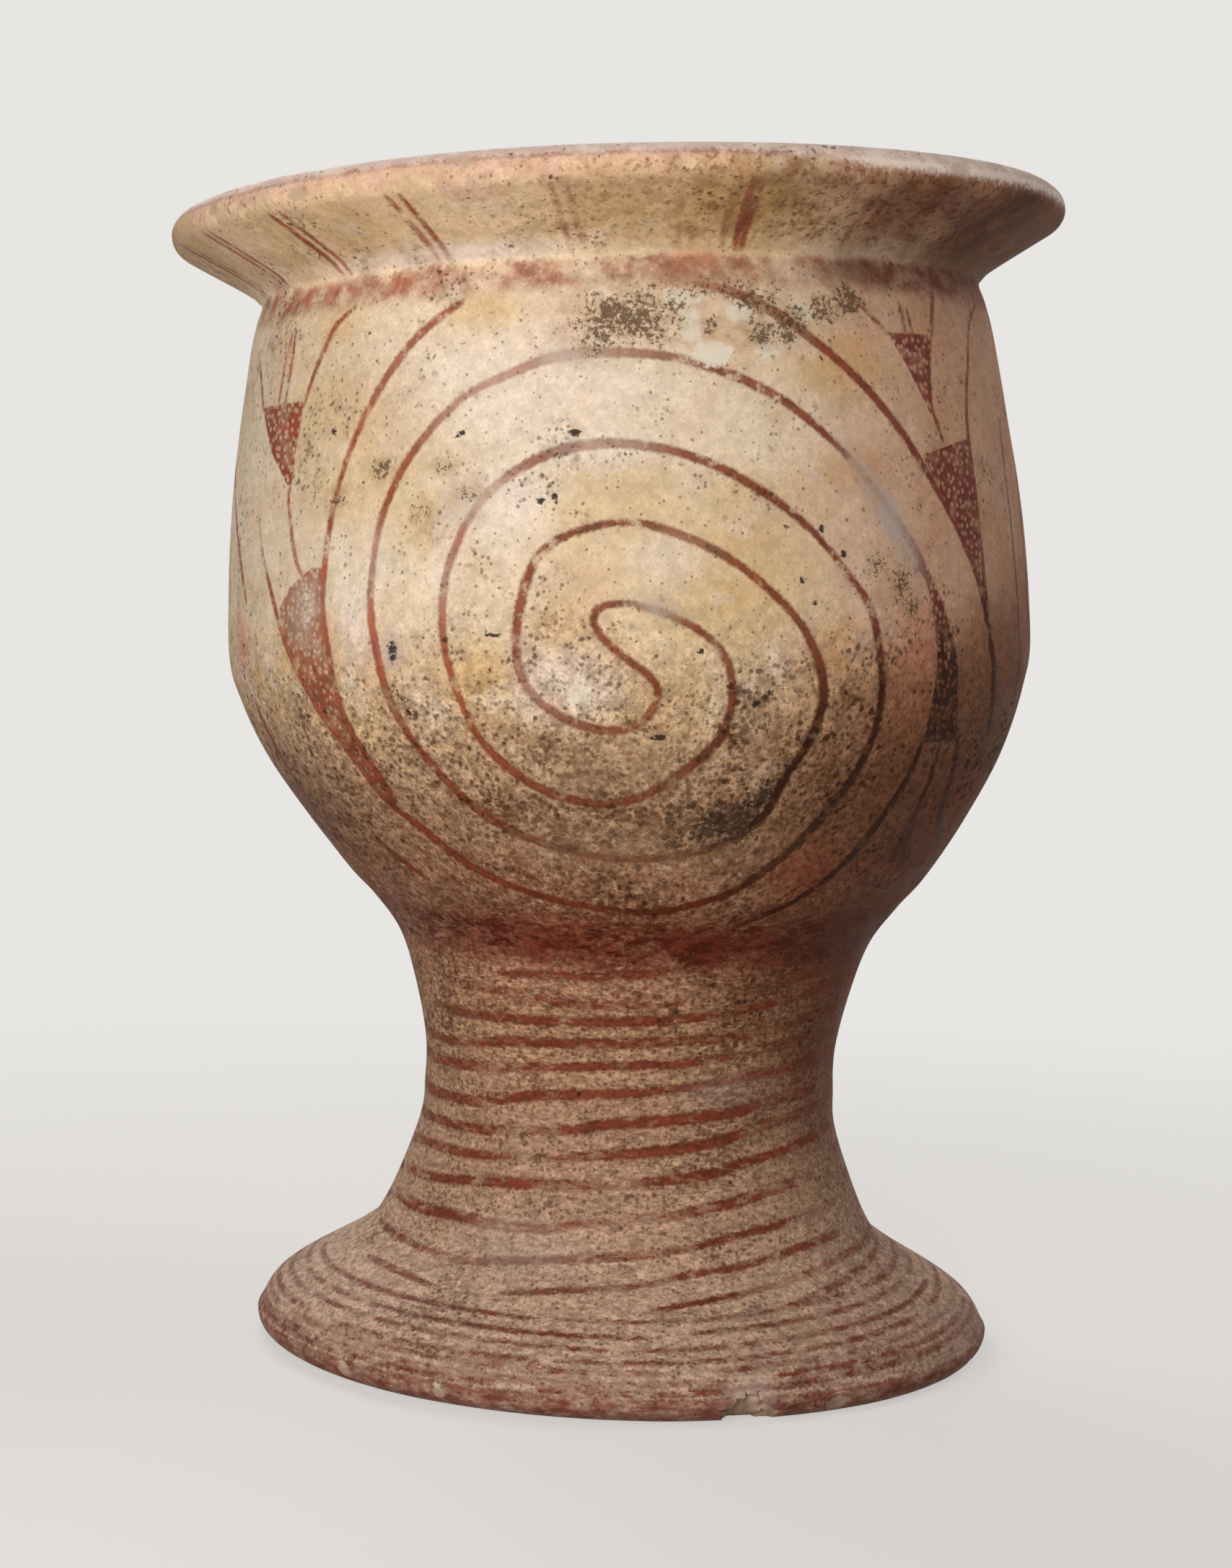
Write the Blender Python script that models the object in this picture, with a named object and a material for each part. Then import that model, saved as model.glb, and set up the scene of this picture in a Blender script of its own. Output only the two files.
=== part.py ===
"""Footed vase of hand-built earthenware, coated with slip and painted.

Nine clay members, each formed on its own and luted to the next while leather-hard: the foot
skirt, the stem tube, the bowl base, two wall rings, the neck collar, the rim flange, and the two
coils of soft clay that seal the stem to the bowl. The bowl leans a little, as fired.

Metres, +Z up. The origin is on the resting plane, under the middle of the whole vase.
"""

import math

import bmesh
import bpy
from mathutils import Matrix, Vector

# Driving dimensions
FOOT_EDGE_RADIUS = 0.0904
FOOT_EDGE_HEIGHT = 0.0055
REST_RING_OUTER = 0.0835
REST_RING_INNER = 0.0765
WAIST_RADIUS = 0.0507
WAIST_HEIGHT = 0.0630
BELLY_RADIUS = 0.0982
BELLY_HEIGHT = 0.1730
NECK_RADIUS = 0.0874
NECK_HEIGHT = 0.2560
RIM_RADIUS = 0.1085
RIM_HEIGHT = 0.2776
LIP_ROUND = 0.0044
PEDESTAL_WALL = 0.0070
BOWL_WALL = 0.0062
FLOOR_TOP = 0.1000
FLOOR_UNDERSIDE = 0.0918

# The bowl tips over the stem: the lean grows from its start height to its full height
BOWL_LEAN = math.radians(-3.44)
LEAN_PIVOT = 0.1100
LEAN_START = 0.0900
LEAN_FULL = 0.1800

# Heights of the seams on the outside. A wall seam is a scarf: its inner edge lies lower
STEM_SEAM = 0.0400
BELLY_SEAM = 0.1360
UPPER_SEAM = 0.1710
NECK_SEAM = 0.2490
RIM_SEAM = 0.2582
SCARF_DROP = 0.0055
SEAM_GAP = 0.0005

# The coil of soft clay round the outside of the stem joint, and the one inside the pedestal
LUTE_LOW = 0.0900
LUTE_HIGH = 0.1220
LUTE_EDGE = 0.0013
INNER_LUTE_LOW = 0.0840
INNER_LUTE_REACH = 0.0335
INNER_LUTE_HOLLOW = (0.0405, 0.0895)

ROUND_STEPS = 48
EDGE_ROUND_ANGLES = (60, 30, 0)
RADIUS, HEIGHT = 0, 1

# The lip is a round bead. The flange runs into it at these angles above the horizontal
LIP_CENTRE = (RIM_RADIUS - LIP_ROUND, RIM_HEIGHT - LIP_ROUND)
LIP_UNDER_ANGLE = -57
LIP_INNER_ANGLE = 133
LIP_BEAD_ANGLES = (-25, 0, 45, 90)


def lip_point(degrees):
    """Point on the bead of the lip, as (radius, height)."""
    angle = math.radians(degrees)
    radius = LIP_CENTRE[RADIUS] + LIP_ROUND * math.cos(angle)
    return radius, LIP_CENTRE[HEIGHT] + LIP_ROUND * math.sin(angle)


# Outside of the vase, as (radius, height), from the foot edge up to the underside of the lip
OUTSIDE = [
    (FOOT_EDGE_RADIUS, FOOT_EDGE_HEIGHT),
    (0.0850, 0.0130),
    (0.0670, 0.0240),
    (0.0602, 0.0310),
    (0.0519, 0.0520),
    (WAIST_RADIUS, WAIST_HEIGHT),
    (0.0510, 0.0735),
    (0.0540, 0.0875),
    (0.0584, 0.1000),
    (0.0649, 0.1090),
    (0.0712, 0.1160),
    (0.0815, 0.1305),
    (0.0899, 0.1445),
    (0.0957, 0.1590),
    (BELLY_RADIUS, BELLY_HEIGHT),
    (0.0964, 0.2050),
    (0.0912, 0.2405),
    (0.0890, 0.2510),
    (NECK_RADIUS, NECK_HEIGHT),
    (0.0886, 0.2582),
    (0.0923, 0.2612),
    lip_point(LIP_UNDER_ANGLE),
]

# Inside of the bowl, from the middle of its floor up to the inner edge of the lip
INSIDE = [
    (0.0000, FLOOR_TOP),
    (0.0250, 0.1013),
    (0.0420, 0.1050),
    (0.0550, 0.1115),
    (0.0660, 0.1210),
    (0.0755, 0.1325),
    (0.0835, 0.1450),
    (0.0890, 0.1580),
    (BELLY_RADIUS - BOWL_WALL, BELLY_HEIGHT),
    (0.0912, 0.1900),
    (0.0880, 0.2230),
    (0.0832, 0.2500),
    (0.0818, 0.2555),
    (0.0826, 0.2590),
    (0.0860, 0.2635),
    (0.0947, 0.2712),
    lip_point(LIP_INNER_ANGLE),
]

# Inside of the pedestal, from the resting ring up to the underside of the bowl
PEDESTAL_INSIDE = [
    (REST_RING_INNER, 0.0000),
    (0.0752, 0.0060),
    (0.0710, 0.0125),
    (0.0627, 0.0185),
    (0.0545, 0.0270),
    (0.0500, 0.0355),
    (0.0450, 0.0500),
    (WAIST_RADIUS - PEDESTAL_WALL, WAIST_HEIGHT),
    (0.0440, 0.0750),
    (0.0460, 0.0880),
    (0.0466, 0.0985),
]

# Underside of the bowl base where the stem and the luting coils hide it
UNDERSIDE = [
    (0.0000, FLOOR_UNDERSIDE),
    (0.0200, 0.0923),
    (0.0360, 0.0943),
    (0.0480, 0.0985),
    (0.0575, 0.1045),
    (0.0660, 0.1125),
    (0.0748, 0.1227),
]

# The stem's outer edge under the luting collar, and its inner edge
STEM_TOP_OUTER = 0.0535
STEM_TOP_INNER = 0.0466

# Colours and gloss of the fired surface
SLIP_CREAM = (0.60, 0.46, 0.30)
SLIP_PINK = (0.42, 0.29, 0.19)
PAINT_RED = (0.28, 0.10, 0.06)
BARE_CLAY = (0.34, 0.22, 0.14)
SLIP_ROUGHNESS = 0.70
PAINT_ROUGHNESS = 0.60
CLAY_ROUGHNESS = 0.85


def curve_point(points, place):
    """Point on the smooth curve through the points, at a place counted in points."""
    last = len(points) - 1
    span = min(int(place), last - 1)
    part = place - span
    start = Vector(points[span])
    end = Vector(points[span + 1])
    before = Vector(points[span - 1]) if span > 0 else 2 * start - end
    after = Vector(points[span + 2]) if span + 2 <= last else 2 * end - start
    bend = 2 * before - 5 * start + 4 * end - after
    twist = 3 * start - before - 3 * end + after
    return 0.5 * (2 * start + (end - before) * part + bend * part**2 + twist * part**3)


def place_of(points, axis, value):
    """Place on a curve where its radius or height, which only grows, reaches a value."""
    low, high = 0.0, float(len(points) - 1)
    for _ in range(40):
        middle = (low + high) / 2
        if curve_point(points, middle)[axis] < value:
            low = middle
        else:
            high = middle
    return high


def stretch(points, axis, low, high, steps):
    """Points along a curve between two radii or heights, lowest first."""
    values = [low + (high - low) * step / steps for step in range(steps + 1)]
    return [curve_point(points, place_of(points, axis, value)) for value in values]


def lowered(points, drop):
    """The same points, moved straight down."""
    return [point - Vector((0, drop)) for point in points]


def wall_section(low, high, steps):
    """Section of a wall ring between two scarf seams: down the outside, up the inside."""
    half = SEAM_GAP / 2
    outer = stretch(OUTSIDE, HEIGHT, low + half, high - half, steps)
    inner = stretch(INSIDE, HEIGHT, low - SCARF_DROP + half, high - SCARF_DROP - half, steps)
    return outer[::-1] + inner


def foot_skirt_section():
    """The flared foot: outside down to the rounded edge, flat resting ring, then up the inside."""
    half = SEAM_GAP / 2
    outer = stretch(OUTSIDE, HEIGHT, FOOT_EDGE_HEIGHT, STEM_SEAM - half, 7)
    inner = stretch(PEDESTAL_INSIDE, HEIGHT, 0.0, STEM_SEAM - SCARF_DROP - half, 6)
    overhang = FOOT_EDGE_RADIUS - REST_RING_OUTER
    edge = []
    for turn in EDGE_ROUND_ANGLES:
        angle = math.radians(turn)
        radius = REST_RING_OUTER + overhang * math.sin(angle)
        edge.append(Vector((radius, FOOT_EDGE_HEIGHT * (1 - math.cos(angle)))))
    return outer[::-1] + edge + inner


def stem_tube_section():
    """The waisted stem, thinner where the luting collar wraps it, cupped on top for the bowl."""
    half = SEAM_GAP / 2
    visible = stretch(OUTSIDE, HEIGHT, STEM_SEAM + half, LUTE_LOW - half, 6)
    shoulder = Vector((visible[-1].x - LUTE_EDGE - SEAM_GAP, LUTE_LOW - half))
    inner_low = STEM_SEAM - SCARF_DROP + half
    inner = stretch(PEDESTAL_INSIDE, HEIGHT, inner_low, INNER_LUTE_LOW, 5)
    cup = lowered(stretch(UNDERSIDE, RADIUS, STEM_TOP_INNER, STEM_TOP_OUTER, 1), SEAM_GAP)
    return [cup[1], shoulder] + visible[::-1] + inner + [cup[0]]


def luting_collar_section():
    """Coil smeared round the joint: feathered outside, fitted to the stem and the bowl inside."""
    half = SEAM_GAP / 2
    outer = stretch(OUTSIDE, HEIGHT, LUTE_LOW + half, LUTE_HIGH - half, 6)
    low_edge = outer[0] - Vector((LUTE_EDGE, 0))
    corner = STEM_TOP_OUTER + SEAM_GAP
    bed = stretch(UNDERSIDE, RADIUS, corner, UNDERSIDE[-1][RADIUS] - half, 4)
    return outer[::-1] + [low_edge] + lowered(bed, SEAM_GAP)


def inner_luting_coil_section():
    """Fillet of clay pressed into the corner between the stem's bore and the bowl's underside."""
    corner = STEM_TOP_INNER - SEAM_GAP
    roof = lowered(stretch(UNDERSIDE, RADIUS, INNER_LUTE_REACH, corner, 2), SEAM_GAP)
    bore = curve_point(PEDESTAL_INSIDE, place_of(PEDESTAL_INSIDE, HEIGHT, INNER_LUTE_LOW))
    foot = bore - Vector((SEAM_GAP, 0))
    toe = foot - Vector((LUTE_EDGE, 0))
    tip = roof[0] - Vector((0, LUTE_EDGE))
    return [roof[-1], foot, toe, Vector(INNER_LUTE_HOLLOW), tip] + roof[:-1]


def bowl_base_section():
    """The rounded base: from its underside's middle out to the seam, and back along the floor."""
    half = SEAM_GAP / 2
    hidden = stretch(UNDERSIDE, RADIUS, 0.0, UNDERSIDE[-1][RADIUS], 6)
    visible = stretch(OUTSIDE, HEIGHT, LUTE_HIGH + half, BELLY_SEAM - half, 3)
    floor_edge = curve_point(INSIDE, place_of(INSIDE, HEIGHT, BELLY_SEAM - SCARF_DROP - half))
    floor = stretch(INSIDE, RADIUS, 0.0, floor_edge.x, 6)
    for middle in (hidden[0], floor[0]):
        middle.x = 0.0
    return hidden + visible + floor[::-1]


def rim_flange_section():
    """The everted rim: up the underside, round the lip, and down the inner slope."""
    half = SEAM_GAP / 2
    under = stretch(OUTSIDE, HEIGHT, RIM_SEAM + half, OUTSIDE[-1][HEIGHT], 4)
    slope = stretch(INSIDE, HEIGHT, RIM_SEAM - SCARF_DROP + half, INSIDE[-1][HEIGHT], 5)
    lip = [Vector(lip_point(degrees)) for degrees in LIP_BEAD_ANGLES]
    return slope + lip[::-1] + under[::-1]


def leaned(point):
    """Where a point of the upright vase goes when the bowl tips over its stem."""
    part = (point.z - LEAN_START) / (LEAN_FULL - LEAN_START)
    part = max(0.0, min(1.0, part))
    turn = Matrix.Rotation(BOWL_LEAN * part * part * (3 - 2 * part), 3, "Y")
    pivot = Vector((0, 0, LEAN_PIVOT))
    return turn @ (point - pivot) + pivot


def clay(name, colour, roughness):
    """A plain fired-clay material."""
    material = bpy.data.materials.new(name)
    material.use_nodes = True
    shader = material.node_tree.nodes["Principled BSDF"]
    shader.inputs["Base Color"].default_value = (*colour, 1.0)
    shader.inputs["Roughness"].default_value = roughness
    shader.inputs["Metallic"].default_value = 0.0
    return material


def turned_piece(name, section, material, vase, centre_shift):
    """Turn a section round the upright axis, lean it, and name it as one piece of the vase."""
    shape = bmesh.new()
    corners = [shape.verts.new((point.x, 0, point.y)) for point in section]
    on_axis = section[0].x == 0.0
    pairs = zip(corners, corners[1:] if on_axis else corners[1:] + corners[:1])
    edges = [shape.edges.new(pair) for pair in pairs]
    bmesh.ops.spin(
        shape,
        geom=corners + edges,
        axis=(0, 0, 1),
        cent=(0, 0, 0),
        angle=2 * math.pi,
        steps=ROUND_STEPS,
        use_merge=True,
    )
    bmesh.ops.remove_doubles(shape, verts=shape.verts[:], dist=0.00001)
    bmesh.ops.recalc_face_normals(shape, faces=shape.faces[:])
    for vertex in shape.verts:
        vertex.co = leaned(vertex.co) + centre_shift
    mesh = bpy.data.meshes.new(name)
    shape.to_mesh(mesh)
    shape.free()
    mesh.materials.append(material)
    mesh.shade_smooth()
    mesh.set_sharp_from_angle(angle=math.radians(40))
    piece = bpy.data.objects.new(name, mesh)
    piece.parent = vase
    bpy.context.scene.collection.objects.link(piece)


def main():
    for old in list(bpy.data.objects):
        bpy.data.objects.remove(old)
    vase = bpy.data.objects.new("footed_vase", None)
    bpy.context.scene.collection.objects.link(vase)

    # The rim is the widest part, so the vase moves sideways until the leaning rim is centred
    rim_drift = leaned(Vector((0, 0, LIP_CENTRE[HEIGHT]))).x
    centre_shift = Vector((-rim_drift, 0, 0))

    pieces = [
        ("foot_skirt", foot_skirt_section(), SLIP_PINK, SLIP_ROUGHNESS),
        ("stem_tube", stem_tube_section(), SLIP_PINK, SLIP_ROUGHNESS),
        ("luting_collar", luting_collar_section(), PAINT_RED, PAINT_ROUGHNESS),
        ("inner_luting_coil", inner_luting_coil_section(), BARE_CLAY, CLAY_ROUGHNESS),
        ("bowl_base", bowl_base_section(), SLIP_CREAM, SLIP_ROUGHNESS),
        ("belly_wall", wall_section(BELLY_SEAM, UPPER_SEAM, 5), SLIP_CREAM, SLIP_ROUGHNESS),
        ("upper_wall", wall_section(UPPER_SEAM, NECK_SEAM, 6), SLIP_CREAM, SLIP_ROUGHNESS),
        ("neck_collar", wall_section(NECK_SEAM, RIM_SEAM, 3), PAINT_RED, PAINT_ROUGHNESS),
        ("rim_flange", rim_flange_section(), PAINT_RED, PAINT_ROUGHNESS),
    ]
    for name, section, colour, roughness in pieces:
        material = clay(name + "_clay", colour, roughness)
        turned_piece(name, section, material, vase, centre_shift)


main()
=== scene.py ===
"""Looks of a footed earthenware vase: cream slip, red-brown brush painting, old stains and wear.

Each clay member of the frame gets a fine turned wall in its place. A geometry tree turns the
member's section, leans it as the bowl leans, and measures how far every point lies from the brush
strokes; the materials read those measures. Strokes, wedges and stains are written as
(degrees, millimetres): degrees round the upright wall from the front, growing to the viewer's
right, and height above the table.
"""

import functools
import math
import random

import bmesh
import bpy
import numpy as np
from mathutils import Matrix, Vector


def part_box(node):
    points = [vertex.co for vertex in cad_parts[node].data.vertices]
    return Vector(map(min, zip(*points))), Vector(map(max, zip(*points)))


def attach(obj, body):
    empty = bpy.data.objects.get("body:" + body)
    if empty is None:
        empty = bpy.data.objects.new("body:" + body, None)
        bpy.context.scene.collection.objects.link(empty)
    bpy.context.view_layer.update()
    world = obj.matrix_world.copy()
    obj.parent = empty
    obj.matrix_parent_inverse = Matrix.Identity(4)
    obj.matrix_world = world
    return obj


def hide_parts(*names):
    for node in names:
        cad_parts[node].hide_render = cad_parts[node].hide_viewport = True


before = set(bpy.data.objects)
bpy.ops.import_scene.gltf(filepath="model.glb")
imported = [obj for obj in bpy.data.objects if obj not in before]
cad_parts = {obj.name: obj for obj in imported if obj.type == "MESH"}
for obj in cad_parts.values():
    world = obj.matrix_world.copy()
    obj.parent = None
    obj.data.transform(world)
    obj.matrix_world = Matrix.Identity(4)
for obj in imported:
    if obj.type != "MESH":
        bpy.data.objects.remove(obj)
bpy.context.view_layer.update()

MM = 0.001
RADIUS, HEIGHT = 0, 1

# Driving dimensions of the turned sections, in metres, with angles in degrees
FOOT_EDGE_RADIUS = 0.0904
FOOT_EDGE_HEIGHT = 0.0055
REST_RING_OUTER = 0.0835
REST_RING_INNER = 0.0765
RIM_RADIUS = 0.1085
RIM_HEIGHT = 0.2776
LIP_ROUND = 0.0044
LIP_UNDER_ANGLE = -57
LIP_INNER_ANGLE = 133
LIP_PAINT_ANGLE = 0
LIP_PAINT_FADE = 35
LIP_STEPS = 20
LIP_BAND_LOW = 0.2700
LIP_BAND_FADE = 0.0030
FOOT_EDGE_TURN = 82
FOOT_EDGE_STEPS = 11
FOOT_PAINT_FADE = 0.0020
BOWL_LEAN = math.radians(-3.44)
LEAN_PIVOT = 0.1100
LEAN_START = 0.0900
LEAN_FULL = 0.1800
STEM_SEAM = 0.0400
BELLY_SEAM = 0.1360
UPPER_SEAM = 0.1710
NECK_SEAM = 0.2490
RIM_SEAM = 0.2582
SCARF_DROP = 0.0055
LUTE_LOW = 0.0900
LUTE_HIGH = 0.1220
LUTE_EDGE = 0.0013
INNER_LUTE_LOW = 0.0840
INNER_LUTE_REACH = 0.0335
INNER_LUTE_HOLLOW = (0.0405, 0.0895)
STEM_TOP_OUTER = 0.0535
STEM_TOP_INNER = 0.0466

# Fineness of the walls: steps round, and row heights where paint shows and where it does not
ROUND_STEPS = 768
PAINTED_ROW = 0.0008
PLAIN_ROW = 0.0040
BRUSH_STEP = 1.2 * MM

# Hand-built unevenness: how far, how large the lumps are, and the radius inside which it fades
UNEVENNESS = 0.0005
LUMP_SIZE = 0.045
STILL_MIDDLE = 0.030

# The foot stands upright, so the middle of its box is the axis that the walls turn about
foot_low, foot_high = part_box("foot_skirt")
FOOT_AXIS = (foot_low.x + foot_high.x) / 2


def lip_point(degrees):
    """Point on the bead of the lip, as (radius, height)."""
    angle = math.radians(degrees)
    radius = RIM_RADIUS - LIP_ROUND + LIP_ROUND * math.cos(angle)
    return radius, RIM_HEIGHT - LIP_ROUND + LIP_ROUND * math.sin(angle)


def smooth_line(points, per_span=24):
    """The smooth curve through given points, as many short steps."""
    chosen = np.array(points, float)
    first = 2 * chosen[:1] - chosen[1:2]
    last = 2 * chosen[-1:] - chosen[-2:-1]
    padded = np.vstack([first, chosen, last])
    spans = len(chosen) - 1
    a, b, c, d = (padded[k : k + spans, None, :] for k in range(4))
    part = np.linspace(0, 1, per_span, endpoint=False)[None, :, None]
    bend = 2 * a - 5 * b + 4 * c - d
    twist = 3 * b - a - 3 * c + d
    steps = 0.5 * (2 * b + (c - a) * part + bend * part**2 + twist * part**3)
    return np.vstack([steps.reshape(-1, chosen.shape[1]), chosen[-1:]])


def even_steps(line, step):
    """The same line, walked in even steps."""
    lengths = np.linalg.norm(np.diff(line, axis=0), axis=1)
    walked = np.concatenate([[0.0], np.cumsum(lengths)])
    count = max(2, int(round(walked[-1] / step)) + 1)
    marks = np.linspace(0, walked[-1], count)
    return np.column_stack([np.interp(marks, walked, column) for column in line.T])


def stretch(line, axis, low, high, step):
    """The part of a line between two radii or heights, lowest first, in even steps."""
    other = 1 - axis
    inner = line[(line[:, axis] > low + 1e-7) & (line[:, axis] < high - 1e-7)]
    ends = []
    for value in (low, high):
        end = np.zeros(2)
        end[axis] = value
        end[other] = np.interp(value, line[:, axis], line[:, other])
        ends.append(end)
    return even_steps(np.vstack([ends[0], inner, ends[1]]), step)


# Outside of the vase, as (radius, height), from the foot edge up to the underside of the lip
OUTSIDE = smooth_line([
    (FOOT_EDGE_RADIUS, FOOT_EDGE_HEIGHT), (0.0850, 0.0130), (0.0670, 0.0240), (0.0602, 0.0310),
    (0.0519, 0.0520), (0.0507, 0.0630), (0.0510, 0.0735), (0.0540, 0.0875), (0.0584, 0.1000),
    (0.0649, 0.1090), (0.0712, 0.1160), (0.0815, 0.1305), (0.0899, 0.1445), (0.0957, 0.1590),
    (0.0982, 0.1730), (0.0964, 0.2050), (0.0912, 0.2405), (0.0890, 0.2510), (0.0874, 0.2560),
    (0.0886, 0.2582), (0.0923, 0.2612), lip_point(LIP_UNDER_ANGLE),
])

# Inside of the bowl, from the middle of its floor up to the inner edge of the lip
INSIDE = smooth_line([
    (0.0000, 0.1000), (0.0250, 0.1013), (0.0420, 0.1050), (0.0550, 0.1115), (0.0660, 0.1210),
    (0.0755, 0.1325), (0.0835, 0.1450), (0.0890, 0.1580), (0.0920, 0.1730), (0.0912, 0.1900),
    (0.0880, 0.2230), (0.0832, 0.2500), (0.0818, 0.2555), (0.0826, 0.2590), (0.0860, 0.2635),
    (0.0947, 0.2712), lip_point(LIP_INNER_ANGLE),
])

# Inside of the pedestal, from the resting ring up to the underside of the bowl
PEDESTAL_INSIDE = smooth_line([
    (REST_RING_INNER, 0.0000), (0.0752, 0.0060), (0.0710, 0.0125), (0.0627, 0.0185),
    (0.0545, 0.0270), (0.0500, 0.0355), (0.0450, 0.0500), (0.0437, 0.0630), (0.0440, 0.0750),
    (0.0460, 0.0880), (0.0466, 0.0985),
])

# Underside of the bowl base where the stem and the luting coils hide it
UNDERSIDE = smooth_line([
    (0.0000, 0.0918), (0.0200, 0.0923), (0.0360, 0.0943), (0.0480, 0.0985), (0.0575, 0.1045),
    (0.0660, 0.1125), (0.0748, 0.1227),
])


def section_of(*runs):
    """A section from (points, outside share, edge share) runs, in order round the clay."""
    points = np.vstack([run[0] for run in runs])
    outside = np.concatenate([np.full(len(run[0]), float(run[1])) for run in runs])
    edge = np.concatenate([np.broadcast_to(run[2], len(run[0])).astype(float) for run in runs])
    return points, outside, edge


def wall_section(low, high):
    """Section of a wall ring between two scarf seams: down the outside, up the inside."""
    outer = stretch(OUTSIDE, HEIGHT, low, high, PAINTED_ROW)
    inner = stretch(INSIDE, HEIGHT, low - SCARF_DROP, high - SCARF_DROP, PLAIN_ROW)
    return section_of((outer[::-1], 1, 0), (inner, 0, 0))


def foot_skirt_section():
    """The flared foot: outside down to the rounded edge, flat resting ring, then up the inside."""
    outer = stretch(OUTSIDE, HEIGHT, FOOT_EDGE_HEIGHT, STEM_SEAM, PAINTED_ROW)
    inner = stretch(PEDESTAL_INSIDE, HEIGHT, 0.0, STEM_SEAM - SCARF_DROP, PLAIN_ROW)
    turn = np.radians(np.linspace(FOOT_EDGE_TURN, 0, FOOT_EDGE_STEPS))
    overhang = FOOT_EDGE_RADIUS - REST_RING_OUTER
    radius = REST_RING_OUTER + overhang * np.sin(turn)
    edge = np.column_stack([radius, FOOT_EDGE_HEIGHT * (1 - np.cos(turn))])
    outer = outer[::-1]
    near_edge = np.clip(1 - (outer[:, HEIGHT] - FOOT_EDGE_HEIGHT) / FOOT_PAINT_FADE, 0, 1)
    return section_of((outer, 1, near_edge), (edge, 1, 1), (inner, 0, 0))


def stem_tube_section():
    """The waisted stem, thinner where the luting collar wraps it, cupped on top for the bowl."""
    visible = stretch(OUTSIDE, HEIGHT, STEM_SEAM, LUTE_LOW, PAINTED_ROW)
    shoulder = visible[-1:] - np.array([[LUTE_EDGE, 0]])
    inner = stretch(PEDESTAL_INSIDE, HEIGHT, STEM_SEAM - SCARF_DROP, INNER_LUTE_LOW, PLAIN_ROW)
    cup = stretch(UNDERSIDE, RADIUS, STEM_TOP_INNER, STEM_TOP_OUTER, PLAIN_ROW)
    return section_of((cup, 0, 0), (shoulder, 1, 0), (visible[::-1], 1, 0), (inner, 0, 0))


def luting_collar_section():
    """Coil smeared round the joint: feathered outside, fitted to the stem and the bowl inside."""
    outer = stretch(OUTSIDE, HEIGHT, LUTE_LOW, LUTE_HIGH, PAINTED_ROW)
    low_edge = outer[:1] - np.array([[LUTE_EDGE, 0]])
    bed = stretch(UNDERSIDE, RADIUS, STEM_TOP_OUTER, UNDERSIDE[-1][RADIUS], PLAIN_ROW)
    return section_of((outer[::-1], 1, 0), (low_edge, 1, 0), (bed, 0, 0))


def inner_luting_coil_section():
    """Fillet of clay pressed into the corner between the stem's bore and the bowl's underside."""
    roof = stretch(UNDERSIDE, RADIUS, INNER_LUTE_REACH, STEM_TOP_INNER, PLAIN_ROW)
    bore = stretch(PEDESTAL_INSIDE, HEIGHT, INNER_LUTE_LOW, PEDESTAL_INSIDE[-1][HEIGHT], PLAIN_ROW)
    tip = roof[0] - np.array([0, LUTE_EDGE])
    toe = bore[0] - np.array([LUTE_EDGE, 0])
    hollow = even_steps(smooth_line([tip, INNER_LUTE_HOLLOW, toe]), PAINTED_ROW)
    return section_of((roof, 0, 0), (bore[::-1], 0, 0), (hollow[::-1], 0, 0))


def bowl_base_section():
    """The rounded base: from its underside's middle out to the seam, and back along the floor."""
    hidden = stretch(UNDERSIDE, RADIUS, 0.0, UNDERSIDE[-1][RADIUS], PLAIN_ROW)
    visible = stretch(OUTSIDE, HEIGHT, LUTE_HIGH, BELLY_SEAM, PAINTED_ROW)
    seam_height = BELLY_SEAM - SCARF_DROP
    seam_radius = np.interp(seam_height, INSIDE[:, HEIGHT], INSIDE[:, RADIUS])
    floor = stretch(INSIDE, RADIUS, 0.0, seam_radius, PLAIN_ROW)
    return section_of((hidden, 0, 0), (visible, 1, 0), (floor[::-1], 0, 0))


def rim_flange_section():
    """The everted rim: up the underside, round the lip, and down the inner slope."""
    under = stretch(OUTSIDE, HEIGHT, RIM_SEAM, OUTSIDE[-1][HEIGHT], PAINTED_ROW)
    slope = stretch(INSIDE, HEIGHT, RIM_SEAM - SCARF_DROP, INSIDE[-1][HEIGHT], PAINTED_ROW)
    slope = slope[::-1]
    turn = np.linspace(LIP_UNDER_ANGLE, LIP_INNER_ANGLE, LIP_STEPS)[1:-1]
    bead = np.array([lip_point(degrees) for degrees in turn])
    near_lip = np.clip((turn - LIP_PAINT_ANGLE) / LIP_PAINT_FADE, 0, 1)
    inner_share = np.clip((slope[:, HEIGHT] - LIP_BAND_LOW) / LIP_BAND_FADE, 0, 1)
    return section_of((under, 1, 0), (bead, 1, near_lip), (slope, 0, inner_share))


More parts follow.
